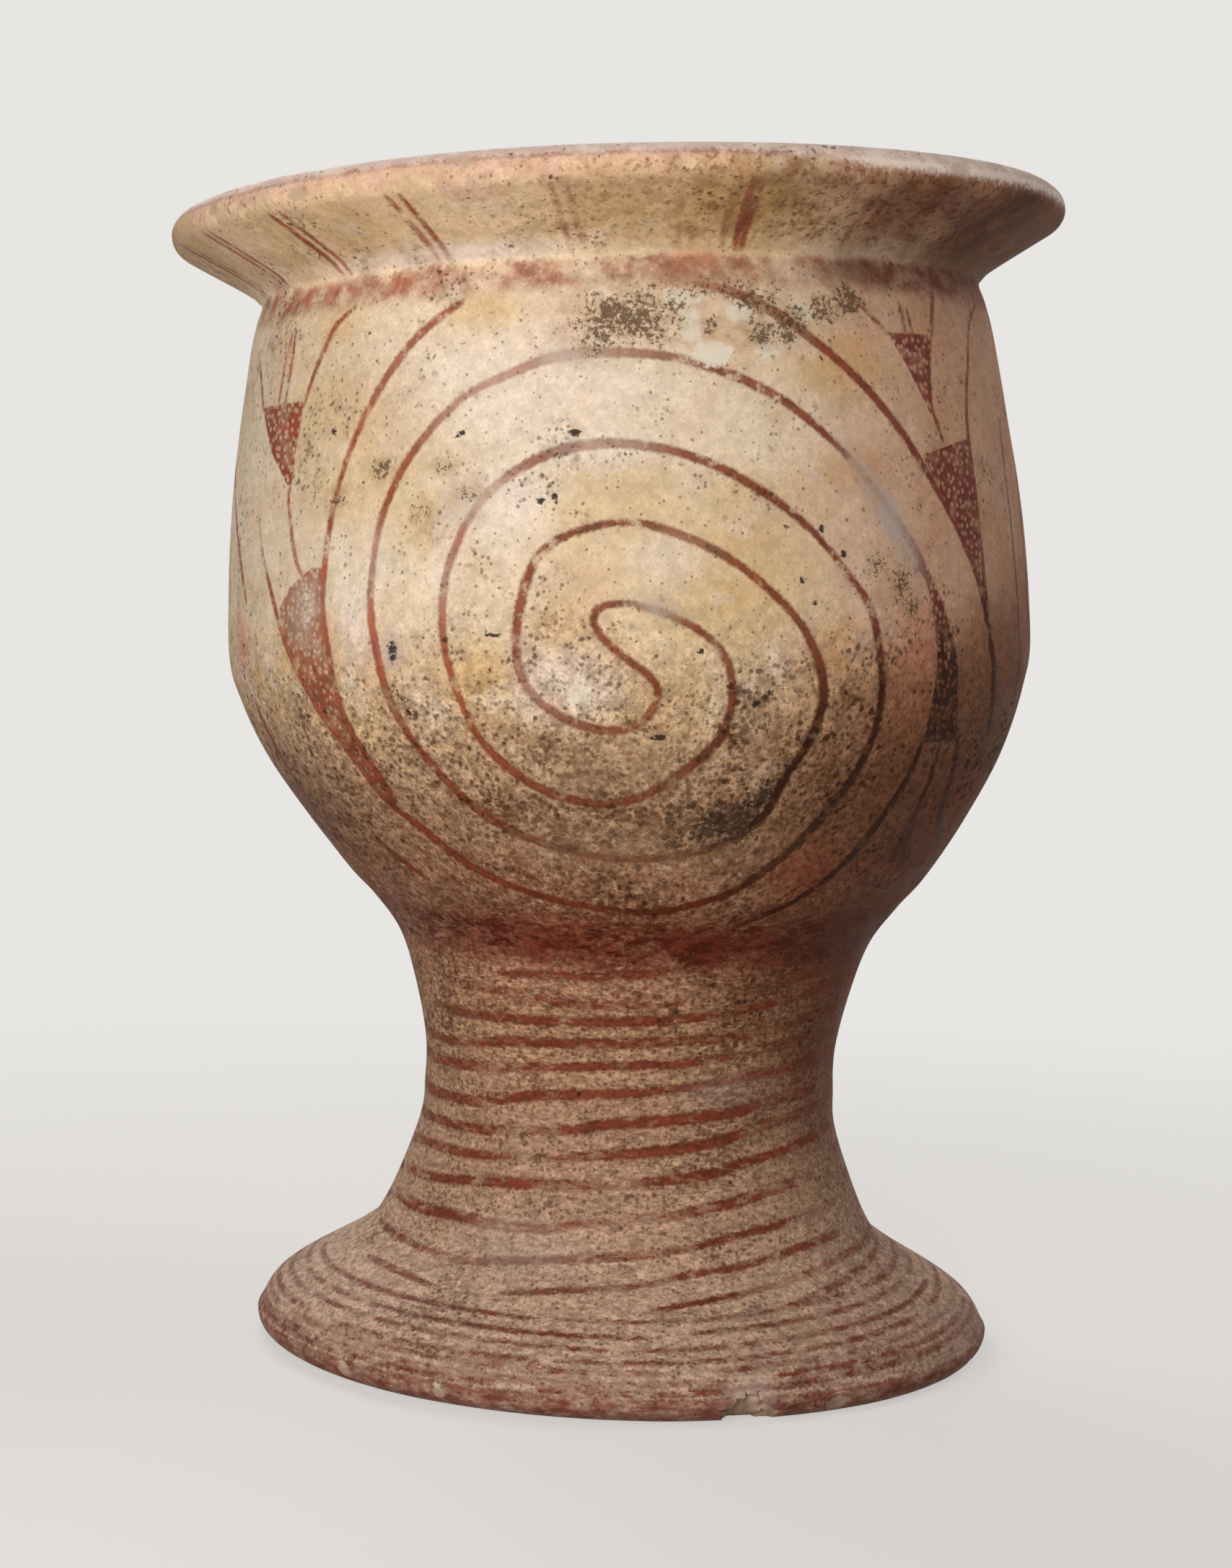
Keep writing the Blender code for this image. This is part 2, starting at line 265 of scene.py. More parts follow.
# Brush strokes on the bowl. The two arms of the spiral start together at its middle
ARM_A = [
    (0.4, 181.2), (-3, 180.7), (-4.5, 178.6), (-3.6, 174), (-0.5, 169.1), (2.4, 165), (3.2, 161),
    (1.4, 156.2), (-2.5, 153.7), (-7.1, 155), (-11.2, 158.8), (-13.8, 164.5), (-14.5, 171),
    (-13.7, 182), (-11.4, 191.5), (-7.1, 196.3), (-0.5, 198.4), (5, 196.5), (12.4, 190.6), (19, 181.6),
    (23.2, 172.8), (25.6, 161), (24.5, 151.5), (21.6, 143), (19, 133.8), (13.5, 128), (5.5, 125.2),
    (-4, 124.5), (-12.9, 126.8), (-20.3, 130.7), (-26, 137.2), (-30.4, 147), (-33.2, 157),
    (-34.5, 170.5), (-35.5, 182), (-34.6, 196.5), (-32.3, 207), (-28.3, 217), (-22, 226.4),
    (-14.8, 231.5), (-8, 234.8), (1, 234.8), (8.6, 233), (15.7, 229), (21.9, 223.8), (27.6, 216.5),
    (32.4, 208.8), (37.9, 197.8), (41.2, 190.5), (43.3, 184),
]
ARM_B = [
    (0.4, 181), (4.8, 178.4), (9, 174.5), (11.9, 169), (12.9, 161), (11.7, 152.5), (8.5, 147),
    (4.3, 142), (-0.5, 138.3), (-6.5, 137.3), (-12.4, 139.5), (-17.2, 144.2), (-21.2, 151.6),
    (-23, 161), (-24.4, 175), (-24.1, 186), (-22.5, 194.3), (-19.5, 203), (-14.7, 209.7), (-8.8, 214.1),
    (-2, 215.4), (4.8, 214), (11, 210.6), (17.6, 204.5), (23.6, 196.9), (28.6, 187.7), (32.4, 179.5),
    (33.6, 172.5), (34.9, 160.5), (34.5, 150), (32, 140), (27.8, 130), (22.4, 122), (17.2, 116.7),
    (11.4, 114), (3.5, 111.6), (-5.7, 112), (-15.7, 114), (-24.8, 117.5), (-31.9, 123), (-37.1, 130.2),
    (-41.5, 136.8), (-44.5, 147), (-47.7, 157), (-50.1, 167.2), (-53.2, 175.7), (-56, 184.5),
    (-58.1, 190.5),
]
ARC_LEFT = [
    (-22.6, 247.8), (-27.9, 242.6), (-32.4, 236), (-36.9, 226), (-40, 216.5), (-42.1, 207),
    (-43.6, 196), (-44.3, 183), (-43.2, 170.5), (-43, 157), (-41.8, 149), (-40.4, 141), (-40, 136),
]
ARC_RIGHT = [
    (10.2, 250), (16, 247.6), (22.2, 242.8), (28.1, 236.3), (33.8, 228.8), (38.8, 220.5), (43.1, 212),
    (46.9, 203.5), (50.9, 194.3), (54.5, 185), (56.4, 177), (57.9, 169), (61, 158), (64.8, 146),
]
RIGHT_FRAME_LINES = [
    [(69, 249.5), (64, 245.5), (61.6, 241), (59.2, 233), (57.4, 227), (56.2, 220.5),
     (55.7, 214), (55.8, 203), (56, 193), (56.5, 183), (57, 172)],
    [(70.2, 223), (69, 217), (68.2, 208), (68.1, 192), (69, 170)],
]
LEFT_WEDGE_LINES = [
    [(-52.4, 213), (-52.9, 207.5), (-52.1, 202), (-51.2, 196.5), (-49.6, 191), (-47.6, 187.5)],
    [(-58.3, 227.5), (-57.6, 237), (-56.2, 245)],
    [(-56.4, 227.5), (-55.7, 234), (-55.2, 245)],
    [(-51, 228), (-49.5, 234), (-47.1, 240.5), (-45, 245.5), (-41, 249.5)],
    [(-63.6, 228), (-67.6, 239), (-69.8, 243)],
    [(-67.4, 160), (-67.2, 145), (-67.4, 130)],
    [(-50.5, 127.5), (-47.1, 122), (-42.9, 117.5)],
]
RIGHT_WEDGE_LINES = [
    [(47.3, 224), (48.1, 220), (49, 215.5)],
    [(40.2, 239.5), (38.1, 242.5), (35.2, 246.5)],
    [(44, 239.5), (43.6, 247)],
    [(45.5, 239.5), (45, 245.5)],
    [(50, 239.5), (51.2, 245.5), (53.3, 252)],
    [(44.8, 150), (44, 142), (41.2, 130.5), (37.1, 121), (30.5, 114), (20.5, 108)],
    [(49, 149), (49.5, 142), (50, 132)],
    [(52.9, 149.5), (54.8, 145.5), (56, 140), (58.6, 133), (66.2, 125.5)],
]

# Netted wedges, as rows of (height, left edge, right edge), with the paint's strength
LEFT_WEDGES = [
    (1, [(229, -64.2, -51), (222.5, -61, -51.5), (218, -59, -52),
         (214, -56, -52.1), (210, -53.4, -52.3)]),
    (0.95, [(191, -46.8, -44.2), (187, -51.5, -44.2), (182, -54.3, -44.3),
            (175.7, -53, -43.8), (167.2, -50, -43.1), (157, -47.6, -43),
            (147, -44.4, -41.6), (139, -42.2, -40.6), (134.5, -40.5, -39.8)]),
]
RIGHT_WEDGES = [
    (1, [(240, 40, 50.2), (233.5, 42.9, 48.8), (229.5, 44.3, 48.3), (222, 46.9, 47.6)]),
    (1, [(216.5, 54, 55.9), (212.5, 44, 55.8), (203, 47.3, 56), (193, 51.4, 56),
         (183, 55, 56.5), (178, 56, 57)]),
    (1, [(191, 40, 41.9), (182.5, 43.1, 44.9), (172, 44.3, 47.9), (160, 44.7, 50.2),
         (149, 44.7, 53)]),
    (0.8, [(134, 49.5, 50.5), (128, 49.3, 53), (122, 50, 57.5)]),
]

# Stripes brushed round the pedestal, as (degrees, height, load of paint) seen from the front
PEDESTAL_STRIPES = [
    [(-34, 94.3, 0.6), (-20, 95, 0.8), (-8, 95.4, 0.7), (2, 96.4, 0.7), (9, 97.1, 0.5)],
    [(34, 93.8, 0.3), (46, 95.5, 0.5), (58, 96.2, 0.4), (72, 97, 0.3)],
    [(-54, 90.6, 0.3), (-36, 90, 0.4), (-20, 88.6, 0.6), (-4, 88.7, 0.5), (12, 89.6, 0.3)],
    [(-62, 83.2, 0.5), (-30, 83.6, 0.8), (-15, 84, 0.8), (0, 84.8, 0.9), (10, 85.4, 0.8),
     (20, 86.5, 0.7), (30, 88, 0.6), (40, 89.4, 0.6), (50, 91, 0.6), (72, 94, 0.5)],
    [(-80, 75.8, 0.7), (-60, 75.2, 0.8), (-50, 75.8, 0.6), (-30, 78.2, 0.8), (-18, 78.7, 0.8),
     (0, 79.8, 0.7), (22, 80.8, 0.5), (36, 82.2, 0.5), (50, 84.5, 0.5), (75, 87, 0.5)],
    [(-82, 70.3, 0.7), (-62, 69.8, 0.7), (-40, 71, 0.5), (-28, 72.2, 0.8), (-12, 73.4, 0.8),
     (2, 74.4, 0.9), (12, 74.8, 0.9), (25, 76.3, 0.5), (36, 77.8, 0.6), (50, 79, 0.5),
     (75, 80.5, 0.5)],
    [(-80, 61.5, 0.8), (-60, 61.7, 0.8), (-45, 62.3, 0.7), (-30, 65, 0.9), (-20, 66.3, 1),
     (-10, 66.9, 1), (0, 67.7, 0.9), (12, 68.9, 0.9), (30, 70.9, 0.7), (50, 73, 0.7),
     (68, 74.3, 0.8), (80, 75, 0.6)],
    [(-82, 55, 0.8), (-60, 55.3, 0.8), (-44, 55.7, 0.7), (-30, 57, 0.4), (-15, 58.4, 0.8),
     (-8, 59.8, 1), (0, 60.8, 1), (12, 61.6, 1), (30, 63.2, 1), (40, 65, 0.6),
     (62, 66, 0.5)],
    [(-80, 49, 0.6), (-60, 49.6, 0.8), (-45, 49.8, 0.8), (-30, 51, 0.4), (-14, 52.4, 0.6),
     (0, 53.6, 1), (10, 54.5, 1), (20, 55.7, 1), (28, 57.2, 0.9), (38, 59.3, 0.7),
     (60, 61.5, 0.5), (74, 62.5, 0.5)],
    [(-74, 41.8, 0.6), (-55, 42.8, 0.9), (-40, 44.3, 0.8), (-28, 45.2, 0.9), (-12, 46.1, 0.5),
     (2, 47.1, 0.4), (12, 48.2, 0.9), (22, 49.2, 0.9), (32, 51.3, 0.9), (44, 52.7, 0.9),
     (60, 54.7, 0.8), (76, 55.7, 0.7)],
    [(-76, 36, 0.5), (-58, 35.3, 0.9), (-44, 35.9, 1), (-30, 35.6, 0.7), (-18, 36.2, 0.6),
     (-6, 38.6, 0.3), (8, 40, 0.4), (22, 42, 0.9), (30, 43.2, 0.9), (40, 44.9, 0.6),
     (56, 46.5, 0.4)],
    [(-78, 28.6, 0.5), (-58, 27.9, 0.8), (-38, 27, 0.6), (-28, 28.2, 0.8), (-12, 30.2, 0.7),
     (0, 31.3, 0.5), (9, 32.5, 0.3), (18, 34, 0.8), (28, 35.7, 0.9), (37, 36.7, 0.9),
     (48, 37.8, 0.4), (64, 39.5, 0.5)],
    [(-64, 23.1, 0.6), (-50, 22.7, 0.7), (-40, 22, 0.6)],
    [(-24, 22.7, 0.6), (-12, 24.2, 0.8), (0, 25.3, 0.5), (8, 26.6, 0.4), (14, 27.8, 0.9),
     (24, 28.7, 0.9), (34, 30.1, 0.7), (46, 31.7, 0.8), (60, 32.7, 0.5)],
    [(6, 21.8, 0.7), (14, 22.8, 1), (22, 23.9, 0.7), (32, 25, 0.4), (52, 27.2, 0.6),
     (68, 28.5, 0.6), (84, 29, 0.5)],
    [(30, 21, 0.5), (44, 23, 0.6), (58, 24.8, 0.7), (84, 27, 0.6)],
]
FLARE_STRIPES = (19.4, 17.2, 15, 12.8, 10.7, 8.8, 7.2)
FLARE_CLIMB = 0.05

# Stripes under the rim, in degrees, with how much paint is left on each
RIM_STRIPES = [
    (-62.5, 0.8), (-60.8, 0.7), (-45.5, 0.9), (-43.6, 0.85), (-27, 0.6), (-25.2, 0.7), (-7, 0.25),
    (-5.1, 0.2), (8, 0), (10, 0), (14.4, 0.3), (16.4, 0.85), (17.4, 0.8),
]
RIM_STRIPE_PITCH = 18.0
RIM_STRIPE_GAP = 2.0
RIM_STRIPE_HALF = 0.75
RIM_STRIPE_LOAD = 0.2
RIM_STRIPE_RUN = [(0.2, 257.2), (-0.3, 263), (-0.9, 271)]

# Stains and deposits: (degrees, height, half width, half height in mm, strength, tilt if any)
STAINS = {
    "crust": [
        (0.5, 241.5, 15, 7, 1), (-5, 238, 5, 5, 0.9), (12.3, 240.4, 3, 3, 1), (18.7, 239, 5, 4, 1),
        (19.8, 245.9, 7, 4, 1), (23, 238, 2.5, 2, 0.8), (29, 244.5, 5, 4, 1), (33.9, 246.4, 6, 4, 1),
        (14, 249, 18, 3.5, 0.8), (24, 243, 6, 5, 0.85), (39.5, 179, 3, 4, 0.9), (38, 183, 4, 5, 1),
        (34, 188, 4, 4, 0.6), (-33, 162, 2.5, 4, 0.9), (-31, 158, 2.5, 4, 0.8), (-42, 206, 3.5, 3, 0.9),
        (-34, 212, 4, 3, 0.9), (-21, 206, 5, 3, 0.75), (-24.5, 212.5, 3.5, 3, 0.7),
        (-28, 202, 4, 4, 0.65), (17, 155, 5, 3.5, 0.6), (-4, 146, 14, 6, 0.55), (4, 150, 5, 3, 0.7),
        (0, 127, 30, 5, 0.45), (18, 268, 18, 4.5, 0.4), (-28.5, 56, 2.6, 2.4, 1),
        (-23.5, 51.8, 2.6, 2.2, 1), (-25.8, 62.3, 1.5, 1.3, 0.9), (-20.5, 45, 1.5, 2.2, 0.8),
        (37, 25.5, 3.5, 1.6, 0.7), (52, 41, 1.8, 4, 0.6), (33, 17, 6, 2.5, 0.5), (-62, 244, 6, 5, 0.5),
        (-48, 240, 6, 4, 0.4),
    ],
    "lime": [
        (9.4, 240.2, 2.8, 4.2, 0.9), (16.3, 243.1, 3.4, 2.6, 0.9), (12.1, 234.6, 6, 3, 0.85),
        (26, 244.2, 2.2, 2.4, 0.9), (8, 246.8, 5, 2.2, 0.8), (20, 235, 3.5, 2.4, 0.7),
        (-8, 162, 6, 5, 0.5), (-39, 181, 4, 8, 0.36), (-47.5, 182, 4, 6, 0.4), (24, 176, 3, 4, 0.4),
        (-45, 5, 1.8, 1.2, 0.7), (-27, 5, 1.2, 1.2, 0.6), (33, 4, 1.4, 1.2, 0.6),
    ],
    "ochre": [
        (12, 186, 20, 15, 0.8), (-20, 166, 9, 7, 0.8), (-19, 245, 8, 4, 0.8), (32, 232, 13, 8, 0.8),
        (-8, 177, 7, 7, 0.6), (4, 160, 6, 5, 0.5), (-1, 81, 9, 4.5, 0.9), (-26, 200, 6, 7, 0.6),
        (14, 205, 14, 5, 0.5, -20), (0, 266, 14, 7, 0.7), (-45, 245, 8, 5, 0.6), (-52, 170, 8, 9, 0.6),
        (16, 265, 18, 9, 1), (-36, 266, 10, 6, 0.5), (27, 166, 8, 12, 0.7),
    ],
    # Pale bloom; the broad patch on the front left of the upper wall, where it is most lit, and the
    # thin strip at the foot of the flange are painted highlight
    "bloom_and_highlight": [
        (-13, 228, 28, 13, 0.8), (-9, 164, 10, 7, 0.7), (5, 190, 9, 6, 0.6), (-39, 181, 5, 10, 0.7),
        (-26, 258.6, 28, 1.8, 1), (-16, 204, 9, 8, 0.9, 30), (-4, 215, 14, 5, 0.8),
        (-24, 190, 4, 12, 0.6), (-35, 192, 4, 9, 0.6),
    ],
    "ash": [
        (36.5, 199, 3.4, 14, 1, 32), (3.8, 180, 4.5, 2.2, 0.8, -20), (-32, 172, 2.6, 4, 0.9),
        (-25, 31, 14, 6, 0.3), (27, 68, 9, 3, 0.3), (-22, 204, 6, 4, 0.5, 35), (19, 6, 5, 3, 0.6),
        (-7, 234.6, 6, 2, 0.6), (-48.5, 181, 6, 8, 0.4),
    ],
    # Soot; the broad patches at the sides of the lower bowl are painted shade, and those on the
    # flange's right are partly painted shade
    "soot_and_shade": [
        (38, 254.5, 14, 4, 0.8), (17, 102, 7, 5, 0.35), (30, 122, 10, 6, 0.35), (58, 258, 22, 6, 0.7),
        (24, 269, 14, 7, 0.35), (40, 266, 16, 10, 0.75), (60, 266, 24, 11, 1), (82, 266, 20, 11, 0.9),
        (45, 104, 16, 7, 0.4), (-35, 113, 14, 3, 0.4), (-72, 130, 26, 20, 0.6), (62, 138, 20, 18, 0.35),
        (-62, 112, 16, 7, 0.3),
    ],
    "scorch": [
        (13.5, 132.5, 9, 6.5, 1, 20), (8, 130.5, 8, 3.5, 0.75, 15), (18.5, 138, 3, 6, 0.8, -30),
        (21.5, 146, 2, 6, 0.6, -25), (-32, 159.5, 2.6, 4.2, 0.55, 20),
    ],
    "char": [
        (-43.5, 221, 1.1, 0.7, 1), (-6.5, 218, 1.4, 0.7, 1), (-22, 218.7, 1.9, 0.6, 1, 30),
        (-9, 204, 0.7, 1.2, 1), (-11, 203.5, 1.3, 0.7, 0.9), (3, 152, 1.6, 0.7, 0.9),
        (20.7, 196.5, 0.7, 0.8, 1), (25.8, 196.3, 0.7, 0.8, 1), (28.8, 190.6, 0.8, 0.7, 1),
        (22.6, 185, 0.7, 0.8, 1), (24.2, 180.2, 0.8, 0.7, 1), (8.8, 170.3, 0.8, 0.7, 1),
        (-17.5, 175, 1.8, 0.6, 1), (-32, 172, 1.8, 3, 0.7), (16, 159, 1, 1, 0.9),
        (18, 161, 0.8, 0.8, 0.9),
    ],
    "blush": [
        (30, 122, 8, 6, 0.5), (-68, 174, 5, 7, 0.9), (62, 135, 12, 10, 0.3), (-32, 253.6, 3, 1.6, 1),
        (-47.3, 253.7, 2.4, 1.8, 0.9), (-53.7, 253.5, 1.2, 3, 0.7), (10, 255, 6, 2, 0.7),
        (-64, 257, 2, 2, 0.6), (-12, 105, 10, 4, 0.3), (42, 170, 10, 18, 0.35),
    ],
}
STAIN_SEED = 11
BACK_STAINS = 16
BACK_FAINT = 0.65
BACK_STAIN_HEIGHTS = (112, 246)
BACK_STAIN_TURNS = (82, 278)
BACK_STAIN_TILT = 40
STAIN_FALL, STAIN_SHARPNESS = 0.7, 1.4

# Knocks in the clay: (degrees, height, half width, half height, depth), all but degrees in mm
CHIPS = [
    (18.5, 0.5, 4.2, 6, 3.2), (16.2, 2, 2, 3, 1.2), (21.8, 1, 2.2, 2.6, 1.4), (-45, 4, 2.5, 2, 0.6),
    (-27, 3.6, 2, 1.6, 0.5), (33, 3, 3, 2, 0.7), (70, 3.5, 3, 2, 0.6), (128, 2, 4, 4, 1.4),
    (-110, 3, 3, 3, 1), (-150, 2.5, 2.5, 2.5, 0.8), (-40, 272.5, 4, 2, 0.5), (-58, 273.5, 3, 1.8, 0.5),
    (-18, 275, 5, 2, 0.4), (44, 274, 4, 2, 0.4), (140, 274, 5, 2.4, 0.7),
]


def wall_radius(height):
    """Radius of the outer wall, in metres, at a height in metres."""
    return np.interp(height, OUTSIDE[:, HEIGHT], OUTSIDE[:, RADIUS])


def on_wall(line):
    """Places on the upright outer wall for (degrees, millimetres) points."""
    turn = np.radians(line[:, 0])
    height = line[:, 1] * MM
    radius = wall_radius(height)
    return np.column_stack([radius * np.sin(turn), -radius * np.cos(turn), height])


def put_in_scene(name, data):
    """A new object in the scene."""
    made = bpy.data.objects.new(name, data)
    bpy.context.scene.collection.objects.link(made)
    return made


class BrushWork:
    """All the brush strokes, gathered as one set of lines with a width and a load of paint.

    The swells and the fade are (share, length in metres) of the slow changes along a stroke.
    """

    TAPER = 7 * MM
    LEAST_TIP = 0.45
    LONG_SWELL, SHORT_SWELL, FADE = (0.13, 0.019), (0.08, 0.0073), (0.18, 0.031)
    FULL_LOAD = 1.3

    def __init__(self):
        self.points = []
        self.edges = []
        self.widths = []
        self.loads = []

    def stroke(self, chosen, half_width=1.0, load=1.0):
        """One stroke through given points. It swells and thins, and ends in a point."""
        curve = smooth_line(chosen)
        raw = on_wall(curve)
        line = even_steps(raw, BRUSH_STEP)
        start = len(self.points)
        walked = np.arange(len(line)) * BRUSH_STEP
        phase = chosen[0][0] * 0.7 + chosen[0][1] * 0.3

        def wave(much, length, shift):
            return much * np.sin(walked / length + shift)

        swell = 1 + wave(*self.LONG_SWELL, phase) + wave(*self.SHORT_SWELL, -phase)
        to_end = np.minimum(walked, walked[::-1]) / self.TAPER
        tip = self.LEAST_TIP + (1 - self.LEAST_TIP) * np.sqrt(np.clip(to_end, 0, 1))
        fade = 1 + wave(*self.FADE, 2 * phase)
        if curve.shape[1] == 3:
            lengths = np.linalg.norm(np.diff(raw, axis=0), axis=1)
            along = np.concatenate([[0.0], np.cumsum(lengths)])
            fade = np.interp(walked, along, curve[:, 2])
        self.points.extend(line.tolist())
        self.edges.extend((start + k, start + k + 1) for k in range(len(line) - 1))
        self.widths.extend(half_width * swell * tip)
        self.loads.extend(np.clip(load * fade, 0, self.FULL_LOAD))

    def as_object(self):
        """The strokes as a line mesh that the geometry tree measures to."""
        mesh = bpy.data.meshes.new("brush_work")
        mesh.from_pydata(self.points, self.edges, [])
        for name, values in (("brush", self.widths), ("load", self.loads)):
            write_measure(mesh, name, np.array(values))
        return put_in_scene("brush_work", mesh)


def turned(points, degrees, lift=0.0):
    """The same painted points, further round the wall."""
    return [(around + degrees, height + lift) for around, height in points]


def cut(points, keep):
    """The points whose degrees lie in a range."""
    return [point for point in points if keep[0] <= point[0] <= keep[1]]


# The spiral is painted twice more on the back, so many degrees further round and millimetres higher
BACK_SPIRALS = (120, -120)
BACK_LIFTS = (1.5, -1)
ARM_TAIL = [(-58.1, 190.5), (-60, 196), (-62, 204)]

# Half width and load of the thin lines, and of those that stay low on the bowl
LINE_HALF, LINE_LOAD = 0.62, 0.9
LOW_LINE_HALF, LOW_LINE_LOAD, LOW_LINE_TOP = 0.85, 1.3, 165


def paint_bowl(work):
    """The spiral with its frame arcs and wedge lines in front, and again twice on the back."""
    main_strokes = [(ARM_A, 0.95, 1.2), (ARM_B, 0.95, 1.2), (ARM_TAIL, 0.7, 0.5),
                    (ARC_LEFT, 0.9, 1.1), (ARC_RIGHT, 1.0, 1.3)]
    for line, half, load in main_strokes:
        work.stroke(line, half, load)
    for line in RIGHT_FRAME_LINES + LEFT_WEDGE_LINES + RIGHT_WEDGE_LINES:
        if max(height for _, height in line) < LOW_LINE_TOP:
            work.stroke(line, LOW_LINE_HALF, LOW_LINE_LOAD)
        else:
            work.stroke(line, LINE_HALF, LINE_LOAD)
    repeated = [(ARM_A, 1.0), (ARM_B[:-3], 1.0), (ARC_LEFT, 0.9), (cut(ARC_RIGHT, (0, 56)), 0.9)]
    for degrees, lift in zip(BACK_SPIRALS, BACK_LIFTS):
        for line, half in repeated:
            work.stroke(turned(line, degrees, lift), half)
    for lines, degrees in zip((RIGHT_WEDGE_LINES, LEFT_WEDGE_LINES[:4]), BACK_SPIRALS):
        for line in lines:
            work.stroke(turned(line, degrees), LINE_HALF, LINE_LOAD)


# Stripes round the back of the pedestal: their heights where the front ones end, and how they run
BACK_STRIPES = np.arange(22.0, 93.0, 7.1)
BACK_STRIPE_FROM, BACK_STRIPE_LAST, BACK_STRIPE_END = 78, 270, 284
BACK_STRIPE_CLIMB = 0.06
STRIPE_TOP = 97
STRIPE_SEED = 23
STRIPE_HALF, FOOT_STRIPE_HALF, FLARE_HALF = 1.0, 0.75, 0.52
STRIPE_LOAD, BACK_STRIPE_LOAD, FLARE_LOAD = 1.15, 0.8, (0.45, 0.85)
FOOT_STRIPE_TOP = 30

# Lengths of their pieces and of the breaks between, and of those on the foot's flare, in degrees
BACK_STRIPE_PIECE, BACK_STRIPE_BREAK = (35, 80), (4, 16)
FLARE_PIECE, FLARE_BREAK = (28, 85), (2, 9)
FLARE_LAST, FLARE_ROUND = 350, 357


def paint_pedestal(work):
    """Brushed stripes that climb to the right; behind, each runs on and breaks now and then."""
    for line in PEDESTAL_STRIPES:
        half = STRIPE_HALF if line[0][1] > FOOT_STRIPE_TOP else FOOT_STRIPE_HALF
        work.stroke(line, half, STRIPE_LOAD)
    chance = random.Random(STRIPE_SEED)
    for base in BACK_STRIPES:
        around = BACK_STRIPE_FROM + chance.uniform(-6, 6)
        while around < BACK_STRIPE_LAST:
            end = min(around + chance.uniform(*BACK_STRIPE_PIECE), BACK_STRIPE_END)
            height = base + BACK_STRIPE_CLIMB * (around - BACK_STRIPE_FROM)
            rise = BACK_STRIPE_CLIMB * (end - around)
            if height + rise < STRIPE_TOP:
                middle = ((around + end) / 2, height + rise / 2 + chance.uniform(-0.7, 0.7))
                line = [(around, height), middle, (end, height + rise)]
                work.stroke(line, STRIPE_HALF, BACK_STRIPE_LOAD)
            around = end + chance.uniform(*BACK_STRIPE_BREAK)
    for height in FLARE_STRIPES:
        first = -180 + chance.uniform(0, 60)
        around = first
        while around < first + FLARE_LAST:
            end = min(around + chance.uniform(*FLARE_PIECE), first + FLARE_ROUND)
            sway = chance.uniform(-0.3, 0.3)
            marks = np.linspace(around, end, 4)
            rises = FLARE_CLIMB * np.maximum(0, 90 - np.abs(marks - 90)) + sway
            line = [(mark, height + rise) for mark, rise in zip(marks, rises)]
            work.stroke(line, FLARE_HALF, chance.uniform(*FLARE_LOAD))
            around = end + chance.uniform(*FLARE_BREAK)


def paint_rim(work):
    """Pairs of stripes under the flange, from the neck out to the lip."""
    stripes = list(RIM_STRIPES)
    around = RIM_STRIPES[-1][0] + RIM_STRIPE_PITCH - RIM_STRIPE_GAP
    while around < 360 + RIM_STRIPES[0][0] - RIM_STRIPE_GAP:
        left_on = 0.25 if around < 90 else 0.7
        stripes += [(around, left_on), (around + RIM_STRIPE_GAP, left_on)]
        around += RIM_STRIPE_PITCH
    for degrees, load in stripes:
        work.stroke(turned(RIM_STRIPE_RUN, degrees), RIM_STRIPE_HALF, load + RIM_STRIPE_LOAD)


def wedges():
    """Every netted wedge, in front and behind, as (strength, rows)."""
    found = LEFT_WEDGES + RIGHT_WEDGES
    for patch, degrees in zip((RIGHT_WEDGES, LEFT_WEDGES), BACK_SPIRALS):
        for strength, rows in patch:
            moved = [(height, left + degrees, right + degrees) for height, left, right in rows]
            found = found + [(strength, moved)]
    return found


